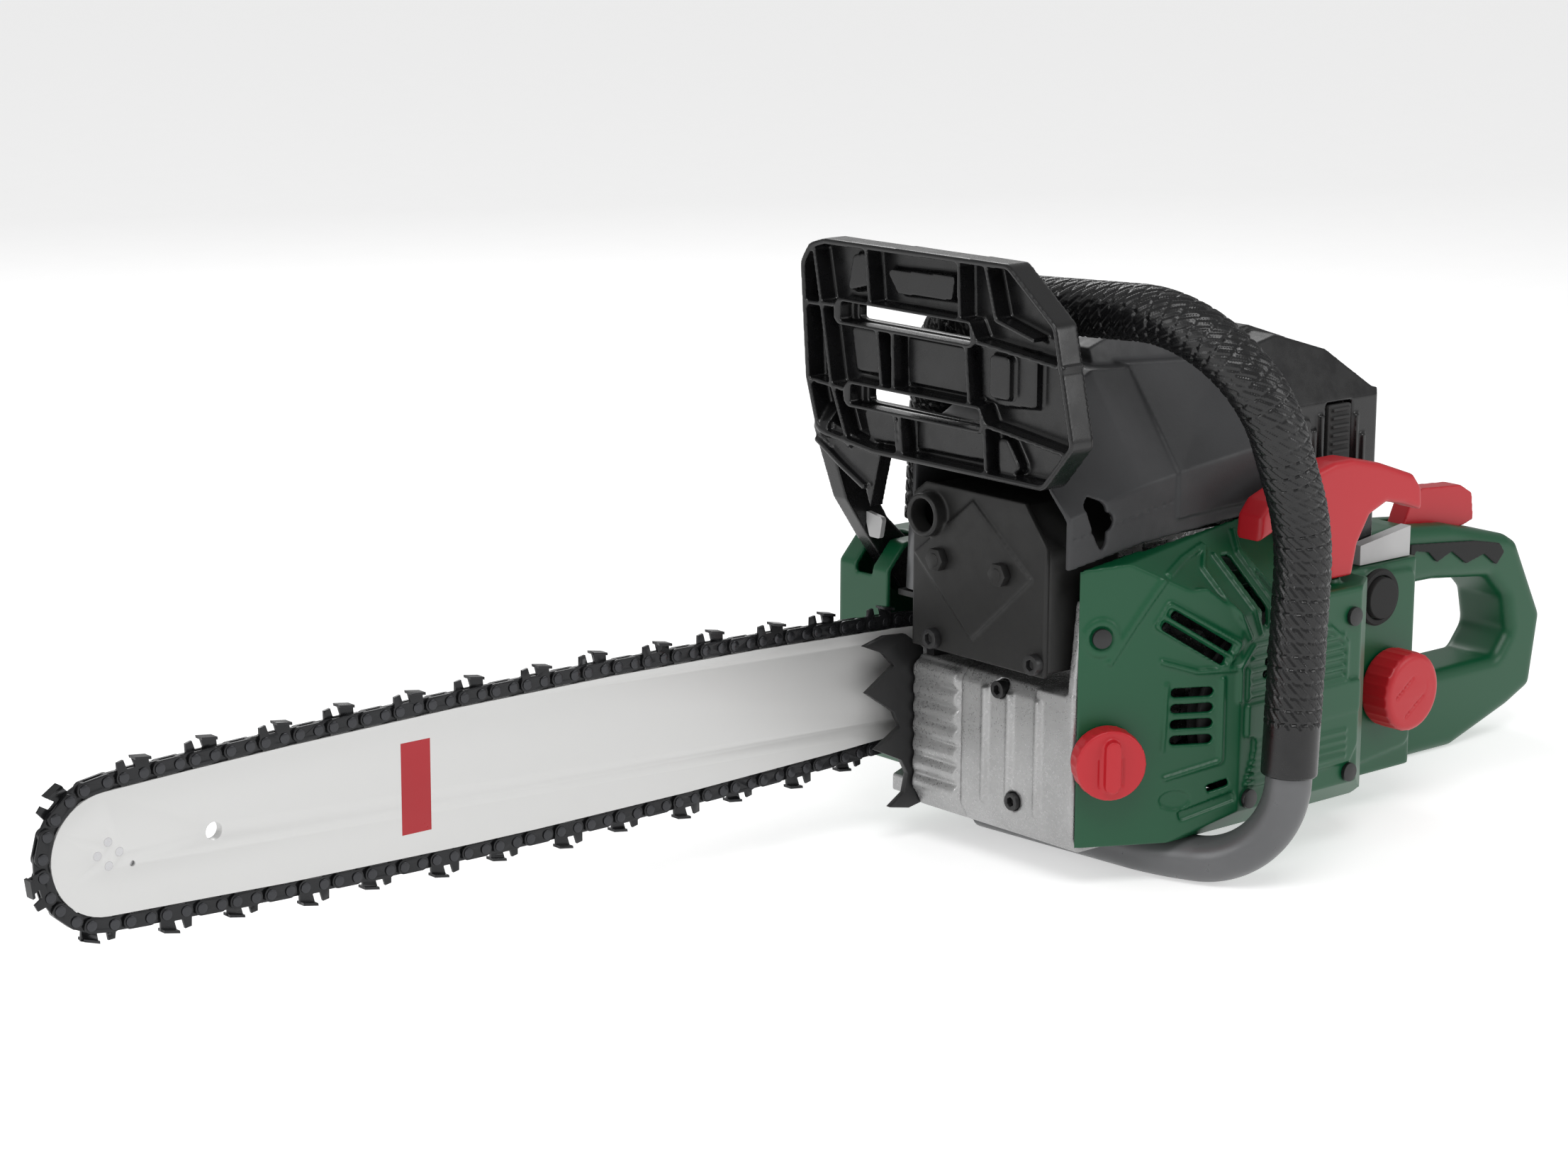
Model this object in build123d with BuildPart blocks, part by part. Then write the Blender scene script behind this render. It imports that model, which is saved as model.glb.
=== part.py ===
"""Petrol chainsaw with a rear handle, 53 cm3 engine and a 45 cm guide bar.

Frame: millimetres, +Z up, +X from the bar towards the rear handle, +Y towards the clutch side.
The origin is on the ground, straight below the crankshaft, in the middle plane of the cylinder.
"""

import os
from math import asin, atan2, cos, degrees, hypot, pi, radians, sin, sqrt, tan

from build123d import *

os.makedirs("parts", exist_ok=True)

# ---- driving dimensions -------------------------------------------------------------------
gap = 0.2  # between pieces that are screwed together or stand side by side
press = 0.05  # all round, between a fixed pin and its hole
running = 0.05  # all round, between a turning shaft and its bore
crank_z = 74.5  # crankshaft above the ground

# chain: 0.325 inch pitch, 1.5 mm drive links
chain_pitch = 8.255  # average distance between rivets
drive_links = 72
outer_step = 9.05  # rivet to rivet in a tie strap or a cutter
inner_step = 2 * chain_pitch - outer_step
link_end = 3.2  # radius of a link round its rivet
drive_thickness = 1.4
strap_thickness = 1.2
rivet_radius = 1.6
rivet_head_radius = 2.3
rivet_head_height = 0.5
tang_depth = 8.0  # drive tang below the rivet line
cutter_height = 8.0  # top plate above the rivet line
cutter_reach = 4.4  # side of a top plate from the chain's middle plane
plate_past_middle = 0.6
sprocket_teeth = 7

# guide bar
bar_y = 53.0  # middle plane
bar_thickness = 4.2
bar_inset = 3.7  # bar edge below the rivet line
bar_crest = 34.4  # rivet line above the bar's axis, at mid length
bar_root = 29.3  # rivet line above the bar's axis, where the heel starts
bar_heel_x = -97.7
bar_heel_radius = 250.0
bar_tail_x = -33.0
groove_width = 1.6
nose_rivet_ring = 4.95
nose_rivet_radius = 1.8
groove_depth = 5.5
stud_spacing = 25.0
rear_stud_x = -47.0
stud_radius = 4.0
bar_slot_end = 8.0  # slot beyond a stud's axis

# engine
stroke = 32.0
conrod_length = 52.0
bore_radius = 22.6
piston_radius = 22.5
piston_height = 32.0
pin_to_crown = 15.5
web_radius = 34.0
web_inner = 8.0
web_outer = 20.0
chamber_radius = 36.0
chamber_side = 21.5
journal_radius = 8.5
bearing_radius = 20.0
bearing_width = 12.0
bearing_inner = 22.0  # near side of a main bearing from the middle plane
shaft_radius = 7.5
seal_radius = 15.0
case_seam_y = 8.0
case_left_y = -40.0
case_right_y = 40.0
case_front_x = -99.0
case_rear_x = 50.0
case_bottom_z = 22.0
case_top_z = 89.5
deck_z = 116.0
deck_half = 41.0
fin_front_x = -43.0
fin_rear_x = 30.0
fin_half_y = 31.0
fin_thickness = 2.0
fin_pitch = 8.0
fin_count = 7
barrel_radius = 28.0

# clutch
drum_radius = 36.0
drum_wall = 2.5
drum_y = 58.0
drum_depth = 23.0
band_thickness = 1.0
band_gap = 0.6

# starter side
flywheel_radius = 46.0
blade_count = 20
pulley_radius = 45.0
rope_radius = 1.8
rope_line = 43.0  # rope centre from the crankshaft axis
pulley_y = -86.0
starter_face_y = -101.0
cover_wall = 2.5

# front handle
tube_radius = 10.5
tube_bore = 8.5
grip_radius = 12.8
handle_route = [
    (-84, 47, 118),
    (-78, 47, 254),
    (-62, -126, 262),
    (-20, -126, 165),
    (-27, -126, tube_radius),
    (-50, -70, tube_radius),
    (-57, 34, tube_radius),
]
handle_bends = [38, 58, 90, 42, 90]
grip_start_z = 150.0
grip_end_z = 54.0

# hand guard
guard_front_x = -127.0
guard_back_x = -114.0
guard_pivot = (-70.0, 118.0)
guard_arm_y = (71.0, 81.0)
guard_pin_radius = 4.0

# tank and rear handle
tank_front_x = 60.0
tank_rear_x = 132.0
tank_left_y = -66.0
tank_right_y = 48.0
tank_bottom_z = 18.5
tank_top_z = 121.5
tank_wall = 3.0
handle_half_width = 18.0
cap_radius = 18.8
fuel_cap = (109.0, 61.5)
primer = (100.0, 106.5)
primer_radius = 10.0
oil_cap = (-85.0, -69.5, 61.0)
oil_cap_radius = 16.0
neck_radius = 12.5
neck_bore = 9.5
trigger_pivot = (152.0, 106.0)
lockout_pivot = (196.0, 110.0)


# ---- planes and simple shapes -------------------------------------------------------------
def side(y, x=0.0, z=0.0):
    """Plane across the saw's width, with X to the right and Z up. Extrudes towards -Y."""
    return Plane(origin=(x, y, z), x_dir=(1, 0, 0), z_dir=(0, -1, 0))


def crank_side(y):
    """The same plane with its origin on the crankshaft axis."""
    return side(y, 0, crank_z)


def slab(y_low, y_high, points, corner=0.0):
    """Plate with an outline given by X and Z, from y_low to y_high."""
    with BuildPart() as piece:
        with BuildSketch(side(y_high)) as outline:
            with BuildLine():
                Polyline(*points, close=True)
            make_face()
            if corner:
                fillet(outline.vertices(), radius=corner)
        extrude(amount=y_high - y_low)
    return piece.part


def block(x_low, x_high, y_low, y_high, z_low, z_high):
    """Rectangular block between two corners."""
    with BuildPart() as piece:
        with Locations(((x_low + x_high) / 2, (y_low + y_high) / 2, (z_low + z_high) / 2)):
            Box(x_high - x_low, y_high - y_low, z_high - z_low)
    return piece.part


def disc(x, z, y_low, y_high, radius, bore=0.0):
    """Round disc, pin or ring with its axis along Y."""
    with BuildPart() as piece:
        with BuildSketch(side(y_high, x, z)):
            Circle(radius)
            if bore:
                Circle(bore, mode=Mode.SUBTRACT)
        extrude(amount=y_high - y_low)
    return piece.part


def rod(start, end, radius, bore=0.0):
    """Round rod or sleeve between two points."""
    axis = Vector(*end) - Vector(*start)
    with BuildPart() as piece:
        with BuildSketch(Plane(origin=start, z_dir=axis)):
            Circle(radius)
            if bore:
                Circle(bore, mode=Mode.SUBTRACT)
        extrude(amount=axis.length)
    return piece.part


def screw(start, end, head_radius, head_height, shank_radius):
    """Socket-head screw: the head's outer face is at start, its tip is at end."""
    axis = (Vector(*end) - Vector(*start)).normalized()
    with BuildPart() as piece:
        add(rod(start, tuple(Vector(*start) + axis * head_height), head_radius))
        add(rod(tuple(Vector(*start) + axis * head_height), end, shank_radius))
        with BuildSketch(Plane(origin=start, z_dir=axis)):
            RegularPolygon(head_radius * 0.58, 6)
        extrude(amount=head_height * 0.6, mode=Mode.SUBTRACT)
    return piece.part


def skinned(sections):
    """Solid with flat faces through outlines of Y and Z, each at its own X."""
    with BuildPart() as piece:
        for x, outline in sections:
            with BuildSketch(Plane.YZ.offset(x)):
                with BuildLine():
                    Polyline(*outline, close=True)
                make_face()
        loft(ruled=True)
    return piece.part


def save(name, part):
    """Label one finished piece and write it."""
    part.label = name
    export_step(part, f"parts/{name}.step")


# ---- chain path -----------------------------------------------------------------------------
def loop_pieces(reach):
    """Rivet line as arcs and lines from the sprocket's top, round the nose and back.

    reach is the distance from the sprocket's centre to the nose's centre. Each piece is
    (kind, data, length), and the lower half mirrors the upper half.
    """
    sprocket = sprocket_teeth * 2 * chain_pitch / (2 * pi)
    crest_x = (-reach + bar_heel_x) / 2
    half = bar_heel_x - crest_x
    drop = bar_crest - bar_root
    main = (half**2 + drop**2) / (2 * drop)
    nose = main - sqrt(half**2 + (main - bar_crest) ** 2)
    lean = asin(half / main)
    heel_centre = (bar_heel_x - bar_heel_radius * sin(lean), bar_root - bar_heel_radius * cos(lean))
    away = hypot(*heel_centre)
    tilt = atan2(-heel_centre[0], -heel_centre[1])
    slope = tilt - asin_complement((bar_heel_radius - sprocket) / away)
    straight = sqrt(away**2 - (bar_heel_radius - sprocket) ** 2)
    pieces = [
        ("arc", (0.0, 0.0, sprocket, pi / 2 - slope, pi / 2 - slope), 0.0),
        ("line", slope, straight),
        ("arc", (*heel_centre, bar_heel_radius, pi / 2 - slope, pi / 2 - lean),
         bar_heel_radius * (slope - lean)),
        ("arc", (crest_x, bar_crest - main, main, pi / 2 - lean, pi / 2 + lean), main * 2 * lean),
        ("arc", (-reach, 0.0, nose, pi / 2 + lean, pi), nose * (pi / 2 - lean)),
    ]
    wrap = sprocket * (pi / 2 - slope)
    return pieces, nose, main, crest_x, lean, slope, heel_centre, sprocket, wrap


def asin_complement(value):
    """Angle whose cosine is value."""
    return pi / 2 - asin(value)


def half_length(reach):
    """Length of half the rivet line, from the back of the sprocket to the nose's tip."""
    pieces, *_, wrap = loop_pieces(reach)
    return wrap + sum(piece[2] for piece in pieces)


reach = 500.0
for _ in range(12):
    reach += drive_links * chain_pitch - half_length(reach)

(upper, nose_radius, main_radius, crest_x, main_lean, heel_slope, heel_centre, sprocket_pitch_radius,
 sprocket_wrap) = loop_pieces(reach)


def loop_point(distance):
    """Point (X, Z) and heading of the rivet line, a distance from the back of the sprocket."""
    total = 2 * drive_links * chain_pitch
    distance %= total
    lower = distance > total / 2
    along = total - distance if lower else distance
    if along <= sprocket_wrap:
        angle = along / sprocket_pitch_radius
        x, z = sprocket_pitch_radius * cos(angle), sprocket_pitch_radius * sin(angle)
        heading = angle + pi / 2
    else:
        along -= sprocket_wrap
        start = (sprocket_pitch_radius * sin(heel_slope), sprocket_pitch_radius * cos(heel_slope))
        for kind, data, length in upper[1:]:
            if along > length + 1e-9 and (kind, data) != upper[-1][:2]:
                along -= length
                continue
            if kind == "line":
                heading = pi - data
                x = start[0] + along * cos(heading)
                z = start[1] + along * sin(heading)
            else:
                cx, cz, radius, first, _ = data
                angle = first + along / radius
                x, z = cx + radius * cos(angle), cz + radius * sin(angle)
                heading = angle + pi / 2
            break
    if lower:
        z, heading = -z, pi - heading
    return x, crank_z + z, heading


def bar_outline(inset):
    """Points and arcs of the bar's edge, inset from the rivet line, as a closed face."""
    edge_main = main_radius - inset
    edge_nose = nose_radius - inset
    edge_heel = bar_heel_radius - inset

    def on(cx, cz, radius, angle, flip=1):
        return (cx + radius * cos(angle), flip * (cz + radius * sin(angle)))

    def run(flip):
        nose_top = on(-reach, 0, edge_nose, pi / 2 + main_lean, flip)
        crest = (crest_x, flip * (bar_crest - inset))
        heel = on(*heel_centre, edge_heel, pi / 2 - main_lean, flip)
        heel_mid = on(*heel_centre, edge_heel, pi / 2 - (main_lean + heel_slope) / 2, flip)
        heel_end = on(*heel_centre, edge_heel, pi / 2 - heel_slope, flip)
        tail = (bar_tail_x, heel_end[1] - flip * (bar_tail_x - heel_end[0]) * tan(heel_slope))
        return nose_top, crest, heel, heel_mid, heel_end, tail

    top, bottom = run(1), run(-1)
    with BuildSketch(crank_side(bar_y + bar_thickness / 2)) as face:
        with BuildLine():
            ThreePointArc(bottom[0], (-reach - edge_nose, 0), top[0])
            ThreePointArc(top[0], top[1], top[2])
            ThreePointArc(top[2], top[3], top[4])
            Line(top[4], top[5])
            Line(top[5], bottom[5])
            Line(bottom[5], bottom[4])
            ThreePointArc(bottom[4], bottom[3], bottom[2])
            ThreePointArc(bottom[2], bottom[1], bottom[0])
        make_face()
    return face.sketch


# ---- guide bar ------------------------------------------------------------------------------
bar_outer = bar_y + bar_thickness / 2
bar_inner = bar_y - bar_thickness / 2
front_stud_x = rear_stud_x - stud_spacing
nose_x = -reach
bar_blank = extrude(bar_outline(bar_inset), amount=bar_thickness)
bar_core = extrude(bar_outline(bar_inset + groove_depth), amount=bar_thickness)
groove_layer = block(-2 * reach, 0, bar_y - groove_width / 2, bar_y + groove_width / 2, 0, 2 * crank_z)
bar_groove = (bar_blank - bar_core) & groove_layer
with BuildPart() as guide_bar:
    add(bar_blank)
    add(bar_groove, mode=Mode.SUBTRACT)
    # the groove widens at the nose into a pocket for the nose sprocket
    add(disc(nose_x, crank_z, bar_y - groove_width / 2, bar_y + groove_width / 2, nose_radius - 4.5),
        mode=Mode.SUBTRACT)
    # slot for the two studs, tensioner holes, oil holes and the hanging hole
    slot_middle = (front_stud_x + rear_stud_x) / 2
    with BuildSketch(crank_side(bar_outer + 1)):
        with Locations((slot_middle, 0)):
            SlotOverall(stud_spacing + 2 * bar_slot_end, 2 * (stud_radius + gap))
        with Locations((front_stud_x - 4, 16), (front_stud_x - 4, -16)):
            Circle(2.6)
        with Locations((front_stud_x - 16, 19), (front_stud_x - 16, -19)):
            Circle(1.2)
        with Locations((nose_x + 48.6, 0)):
            Circle(3.85)
        with Locations((nose_x + 10.7, -6)):
            Circle(1.2)
        # the four nose rivets' holes, set as a diamond
        with Locations((nose_x, 0)):
            with PolarLocations(nose_rivet_ring, 4):
                Circle(nose_rivet_radius + press)
    extrude(amount=bar_thickness + 2, mode=Mode.SUBTRACT)
save("guide_bar", guide_bar.part)

with BuildPart() as nose_sprocket:
    disc_thickness = groove_width - gap
    with BuildSketch(crank_side(bar_y + disc_thickness / 2)):
        with Locations((nose_x, 0)):
            Circle(nose_radius - tang_depth - 1.5)
            Circle(nose_rivet_ring + nose_rivet_radius + 1.0, mode=Mode.SUBTRACT)
    extrude(amount=disc_thickness)
save("nose_sprocket", nose_sprocket.part)

with BuildPart() as nose_rivets:
    with BuildSketch(crank_side(bar_outer)):
        with Locations((nose_x, 0)):
            with PolarLocations(nose_rivet_ring, 4):
                Circle(nose_rivet_radius)
    extrude(amount=bar_thickness)
save("nose_rivets", nose_rivets.part)


# ---- chain ------------------------------------------------------------------------------------
def link_plane(first, second, y):
    """Plane on a link: origin midway between its rivets, X along the chain, Y outwards."""
    x1, z1, _ = first
    x2, z2, _ = second
    run = Vector(x2 - x1, 0, z2 - z1).normalized()
    return Plane(origin=((x1 + x2) / 2, y, (z1 + z2) / 2), x_dir=run, z_dir=(0, 1, 0))


def rivet_place(index):
    """Rivet number index round the loop: pairs are outer_step apart, then inner_step."""
    pair, second = divmod(index, 2)
    return loop_point(pair * 2 * chain_pitch + second * outer_step + chain_pitch / 2)


def rivet_gap(first, second):
    """Straight distance between two rivets."""
    return hypot(second[0] - first[0], second[1] - first[1])


def strap_sketch(plane, step):
    """Figure-of-eight link with two rivet holes."""
    with BuildSketch(plane) as face:
        SlotCenterToCenter(step, 2 * link_end)
        with Locations((-step / 2, 0), (step / 2, 0)):
            Circle(rivet_radius + press, mode=Mode.SUBTRACT)
    return face.sketch


def cutter_sketch(plane, step):
    """Side of a cutter: depth gauge in front, tooth behind. Its X runs with the chain."""
    half = step / 2
    with BuildSketch(plane) as face:
        SlotCenterToCenter(step, 2 * link_end)
        with BuildLine():
            Polyline(
                (half + 2.6, 0), (half + 2.6, cutter_height - 1.4), (half - 0.4, cutter_height - 0.8),
                (half - 1.6, 3.4), (0.6, 2.4), (-1.0, 3.4), (0.4, cutter_height), (-half - 2.6,
                                cutter_height - 1.2),
                (-half - 3.0, 0), close=True)
        make_face()
        with Locations((-half, 0), (half, 0)):
            Circle(rivet_radius + press, mode=Mode.SUBTRACT)
    return face.sketch


strap_inner = drive_thickness / 2 + 0.08
strap_outer = strap_inner + strap_thickness
straps, drives, left_cutters, right_cutters, rivets = [], [], [], [], []
for link in range(drive_links):
    ends = (rivet_place(2 * link), rivet_place(2 * link + 1))
    following = rivet_place(2 * link + 2)
    kind = link % 4
    for hand in (-1, 1):
        low = bar_y + strap_inner if hand > 0 else bar_y - strap_outer
        plane = link_plane(*ends, low)
        is_cutter = (kind == 0 and hand < 0) or (kind == 2 and hand > 0)
        if not is_cutter:
            straps.append(extrude(strap_sketch(plane, rivet_gap(*ends)), amount=strap_thickness))
            continue
        with BuildPart() as cutter:
            extrude(cutter_sketch(plane, rivet_gap(*ends)), amount=strap_thickness)
            # the top plate covers half of the kerf, from its own side past the middle
            plate_low = bar_y - cutter_reach if hand < 0 else bar_y - plate_past_middle
            with BuildSketch(link_plane(*ends, plate_low)):
                with BuildLine():
                    Polyline((0.3, cutter_height), (-outer_step / 2 - 2.6, cutter_height - 1.2),
                             (-outer_step / 2 - 2.6, cutter_height - 2.4), (0.1, cutter_height - 1.2),
                             close=True)
                make_face()
            extrude(amount=cutter_reach + plate_past_middle)
        (right_cutters if hand > 0 else left_cutters).append(cutter.part)
    plane = link_plane(ends[1], following, bar_y - drive_thickness / 2)
    with BuildPart() as drive:
        extrude(strap_sketch(plane, rivet_gap(ends[1], following)), amount=drive_thickness)
        with BuildSketch(plane):
            with BuildLine():
                Polyline((-3.4, -2.2), (3.4, -2.2), (1.2, -tang_depth), (-1.6, -tang_depth + 0.6), close=True)
            make_face()
        extrude(amount=drive_thickness)
    drives.append(drive.part)
    for place in ends:
        shank = strap_outer
        rivets.append(
            disc(place[0], place[1], bar_y - shank, bar_y + shank, rivet_radius)
            + disc(place[0], place[1], bar_y + shank, bar_y + shank + rivet_head_height, rivet_head_radius)
            + disc(place[0], place[1], bar_y - shank - rivet_head_height, bar_y - shank, rivet_head_radius))

for name, pieces in (("chain_tie_straps", straps), ("chain_drive_links", drives), ("chain_rivets", rivets),
                     ("chain_left_cutters", left_cutters), ("chain_right_cutters", right_cutters)):
    save(name, Compound(children=pieces))

# ---- crankcase --------------------------------------------------------------------------------
case_outline = [
    (case_front_x, 26), (case_front_x + 5, 17), (-76, 17), (-72, case_bottom_z), (38, case_bottom_z),
    (case_rear_x, 34), (case_rear_x, 96), (deck_half, deck_z), (-deck_half, deck_z), (-52, case_top_z),
    (case_front_x + 4, case_top_z), (case_front_x, case_top_z - 6)]
tank_x = (case_front_x + 12, -58.0)
case_screw_places = [(-17, 84.5), (-27, 34)]
flange_top_z = 132.5
flange_y = (-64.0, -59.0)
skirt_radius = bore_radius + 2.0
neck_axis = Vector(-0.5, -cos(radians(30)), 0)
neck_in = Vector(*oil_cap) - neck_axis * 12
neck_out = Vector(*oil_cap) + neck_axis * 1

with BuildPart() as crankcase_left:
    add(slab(case_left_y, case_seam_y, case_outline))
    add(slab(flange_y[0], case_left_y, [(case_front_x, 26), (case_front_x + 5, 17), (-76, 17), (-72,
                    case_bottom_z),
                                        (-46, case_bottom_z), (-46, case_top_z), (case_front_x, case_top_z)]))
    add(slab(flange_y[0], flange_y[1], [(case_front_x, case_top_z - 4), (-88, case_top_z - 4),
                                        (-88, flange_top_z), (-94, flange_top_z)]))
    add(rod(tuple(neck_in), tuple(neck_out), neck_radius))
    # crank chamber, cylinder skirt, main bearing, shaft and oil tank
    add(disc(0, crank_z, -chamber_side, case_seam_y, chamber_radius), mode=Mode.SUBTRACT)
    add(rod((0, 0, crank_z), (0, 0, deck_z + 1), skirt_radius + gap), mode=Mode.SUBTRACT)
    add(disc(0, crank_z, -bearing_inner - bearing_width, case_seam_y, bearing_radius + press),
        mode=Mode.SUBTRACT)
    add(disc(0, crank_z, case_left_y - 1, case_seam_y, seal_radius), mode=Mode.SUBTRACT)
    add(block(*tank_x, -57, case_seam_y - 5, 27, 84), mode=Mode.SUBTRACT)
    add(disc(0, crank_z, -74, case_left_y - 2, flywheel_radius + 2), mode=Mode.SUBTRACT)
    add(rod(tuple(neck_in), tuple(neck_out + neck_axis), neck_bore), mode=Mode.SUBTRACT)
    # foot straight below the crankshaft
    add(block(-34, 30, -24, case_seam_y - 4, 0, case_bottom_z + 2))
    # three upright ribs and two screw pockets on the front
    for y in (-8, -24, -42):
        add(block(case_front_x - 2, case_front_x + 2, y - 1.5, y + 1.5, 30, 84))
    for y, z in case_screw_places:
        with Locations(Location((case_front_x + 2, y, z), (0, 90, 0))):
            Cylinder(4.2, 12, mode=Mode.SUBTRACT)
save("crankcase_left", crankcase_left.part)

wave_radius = 5.0
with BuildPart() as crankcase_right:
    add(slab(case_seam_y, case_right_y, case_outline))
    # long waves cast into the front
    for z in range(29, 84, 9):
        with Locations(Location((case_front_x + 3, (case_seam_y + case_right_y) / 2 + 0.5, z), (90, 0, 0))):
            Cylinder(wave_radius, case_right_y - case_seam_y - 3)
    # pad for the bar, inside the chain loop
    add(slab(case_right_y, bar_inner - gap, [(-90, 58), (-90, 91), (-30, 91), (-30, 58)], corner=6))
    add(disc(0, crank_z, case_seam_y, chamber_side, chamber_radius), mode=Mode.SUBTRACT)
    add(rod((0, 0, crank_z), (0, 0, deck_z + 1), skirt_radius + gap), mode=Mode.SUBTRACT)
    add(disc(0, crank_z, case_seam_y, bearing_inner + bearing_width, bearing_radius + press),
        mode=Mode.SUBTRACT)
    add(disc(0, crank_z, case_seam_y, case_right_y + 1, seal_radius), mode=Mode.SUBTRACT)
    add(block(-92, -52, 14, 36, 30, 84), mode=Mode.SUBTRACT)
    add(disc(-38, crank_z, bar_inner - 9, bar_inner, 11), mode=Mode.SUBTRACT)
    with BuildSketch(crank_side(bar_outer)):
        with Locations((front_stud_x, 0), (rear_stud_x, 0)):
            Circle(stud_radius + press)
    extrude(amount=bar_outer - case_right_y + 12, mode=Mode.SUBTRACT)
save("crankcase_right", crankcase_right.part)

with BuildPart() as bar_studs:
    with BuildSketch(crank_side(98)):
        with Locations((front_stud_x, 0), (rear_stud_x, 0)):
            Circle(stud_radius)
    extrude(amount=98 - case_right_y + 8)
save("bar_studs", bar_studs.part)

# ---- spiked bumper ----------------------------------------------------------------------------
bumper_y = (case_right_y + gap, case_right_y + gap + 3.0)
with BuildPart() as spiked_bumper:
    with BuildSketch(side(bumper_y[1])) as face:
        with BuildLine():
            Polyline((-70, 24), (-70, 52), (-93, 56), (-93, 92), (-104, 100), (-117, 101), (-129.8, 97.9),
                     (-118, 93), (-111, 86), (-128.2, 75.5), (-111, 64), (-107, 56), (-122.2, 47.6), (-106,
                                     40),
                     (-102, 33), (-104, 24), (-113, 18.4), (-101, 16), (-90, 18), close=True)
        make_face()
        with Locations((-86, 33), (-82, 46)):
            Circle(2.6, mode=Mode.SUBTRACT)
    extrude(amount=3.0)
save("spiked_bumper", spiked_bumper.part)

# ---- muffler ----------------------------------------------------------------------------------
muffler_y = (-57.0, 29.0)
muffler_z = (99.0, 176.0)
muffler_back_x = -64.0
muffler_front_x = -108.0
muffler_studs = [(9.3, 142.3), (-31.2, 142.3)]
muffler_feet = [(13.7, 104.5), (-52.0, 105.0)]
muffler_corner = 9.0


def muffler_outline(grow=0.0):
    """Outline of Y and Z of the muffler's front, with a cut upper corner."""
    low_y, high_y = muffler_y[0] - grow, muffler_y[1] + grow
    low_z, high_z = muffler_z[0] - grow, muffler_z[1] + grow
    return [(low_y, low_z), (high_y, low_z), (high_y, high_z - 6), (high_y - 8, high_z),
            (low_y + 14, high_z), (low_y, high_z - 18)]


with BuildPart() as muffler_body:
    with BuildSketch(Plane.YZ.offset(muffler_front_x)):
        with BuildLine():
            Polyline(*muffler_outline(-1), close=True)
        make_face()
    extrude(amount=muffler_back_x - muffler_front_x)
    with BuildSketch(Plane.YZ.offset(muffler_front_x - 1)):
        with BuildLine():
            Polyline(*muffler_outline(-3), close=True)
        make_face()
    extrude(amount=muffler_back_x - muffler_front_x - 1, mode=Mode.SUBTRACT)
    for y, z in muffler_studs:
        with Locations(Location(((muffler_front_x + muffler_back_x) / 2, y, z), (0, 90, 0))):
            Cylinder(5, muffler_back_x - muffler_front_x)
            Cylinder(3 + press, 60, mode=Mode.SUBTRACT)
    with Locations(Location((muffler_back_x, 0, 148), (0, 90, 0))):
        Cylinder(8, 8, mode=Mode.SUBTRACT)
save("muffler_body", muffler_body.part)

plate_thickness = 3.0
outlet = (27.1 - 11, 162.0)
with BuildPart() as muffler_front:
    with BuildSketch(Plane.YZ.offset(muffler_front_x - plate_thickness)) as face:
        with BuildLine():
            Polyline(*muffler_outline(), close=True)
        make_face()
    extrude(amount=plate_thickness)
    middle = (-11.0, 142.3)
    with BuildSketch(Plane.YZ.offset(muffler_front_x - plate_thickness - 1.5)):
        with BuildLine():
            Polyline((middle[0] - 38, middle[1]), (middle[0], middle[1] - 34), (middle[0] + 38, middle[1]),
                     (middle[0], middle[1] + 30), close=True)
        make_face()
    extrude(amount=1.6)
    with Locations(Location((muffler_front_x - plate_thickness - 3, *outlet), (0, 90, 0))):
        Cylinder(10, 8)
        Cylinder(7.5, 12, mode=Mode.SUBTRACT)
    for y, z in muffler_studs:
        with Locations(Location((muffler_front_x, y, z), (0, 90, 0))):
            Cylinder(3 + press, 20, mode=Mode.SUBTRACT)
    for y, z in muffler_feet:
        with Locations(Location((muffler_front_x, y, z), (0, 90, 0))):
            Cylinder(3 + press, 20, mode=Mode.SUBTRACT)
save("muffler_front", muffler_front.part)

with BuildPart() as muffler_bolts:
    for y, z in muffler_studs:
        add(rod((muffler_front_x - 9, y, z), (-47, y, z), 3.0))
        nut_plane = Plane.YZ.offset(muffler_front_x - 8.5)
        with BuildSketch(nut_plane):
            with Locations((y, z)):
                RegularPolygon(5.6, 6)
                Circle(3.0, mode=Mode.SUBTRACT)
        extrude(amount=3.8)
save("muffler_bolts", muffler_bolts.part)

front_screws = [
    screw((muffler_front_x - plate_thickness - 4, y, z), (muffler_front_x - 0.5, y, z), 4.6, 4.0, 3.0)
    for y, z in muffler_feet
] + [screw((case_front_x - 2, y, z), (case_front_x + 6, y, z), 4.0, 5.0, 2.5) for y, z in case_screw_places]

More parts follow.
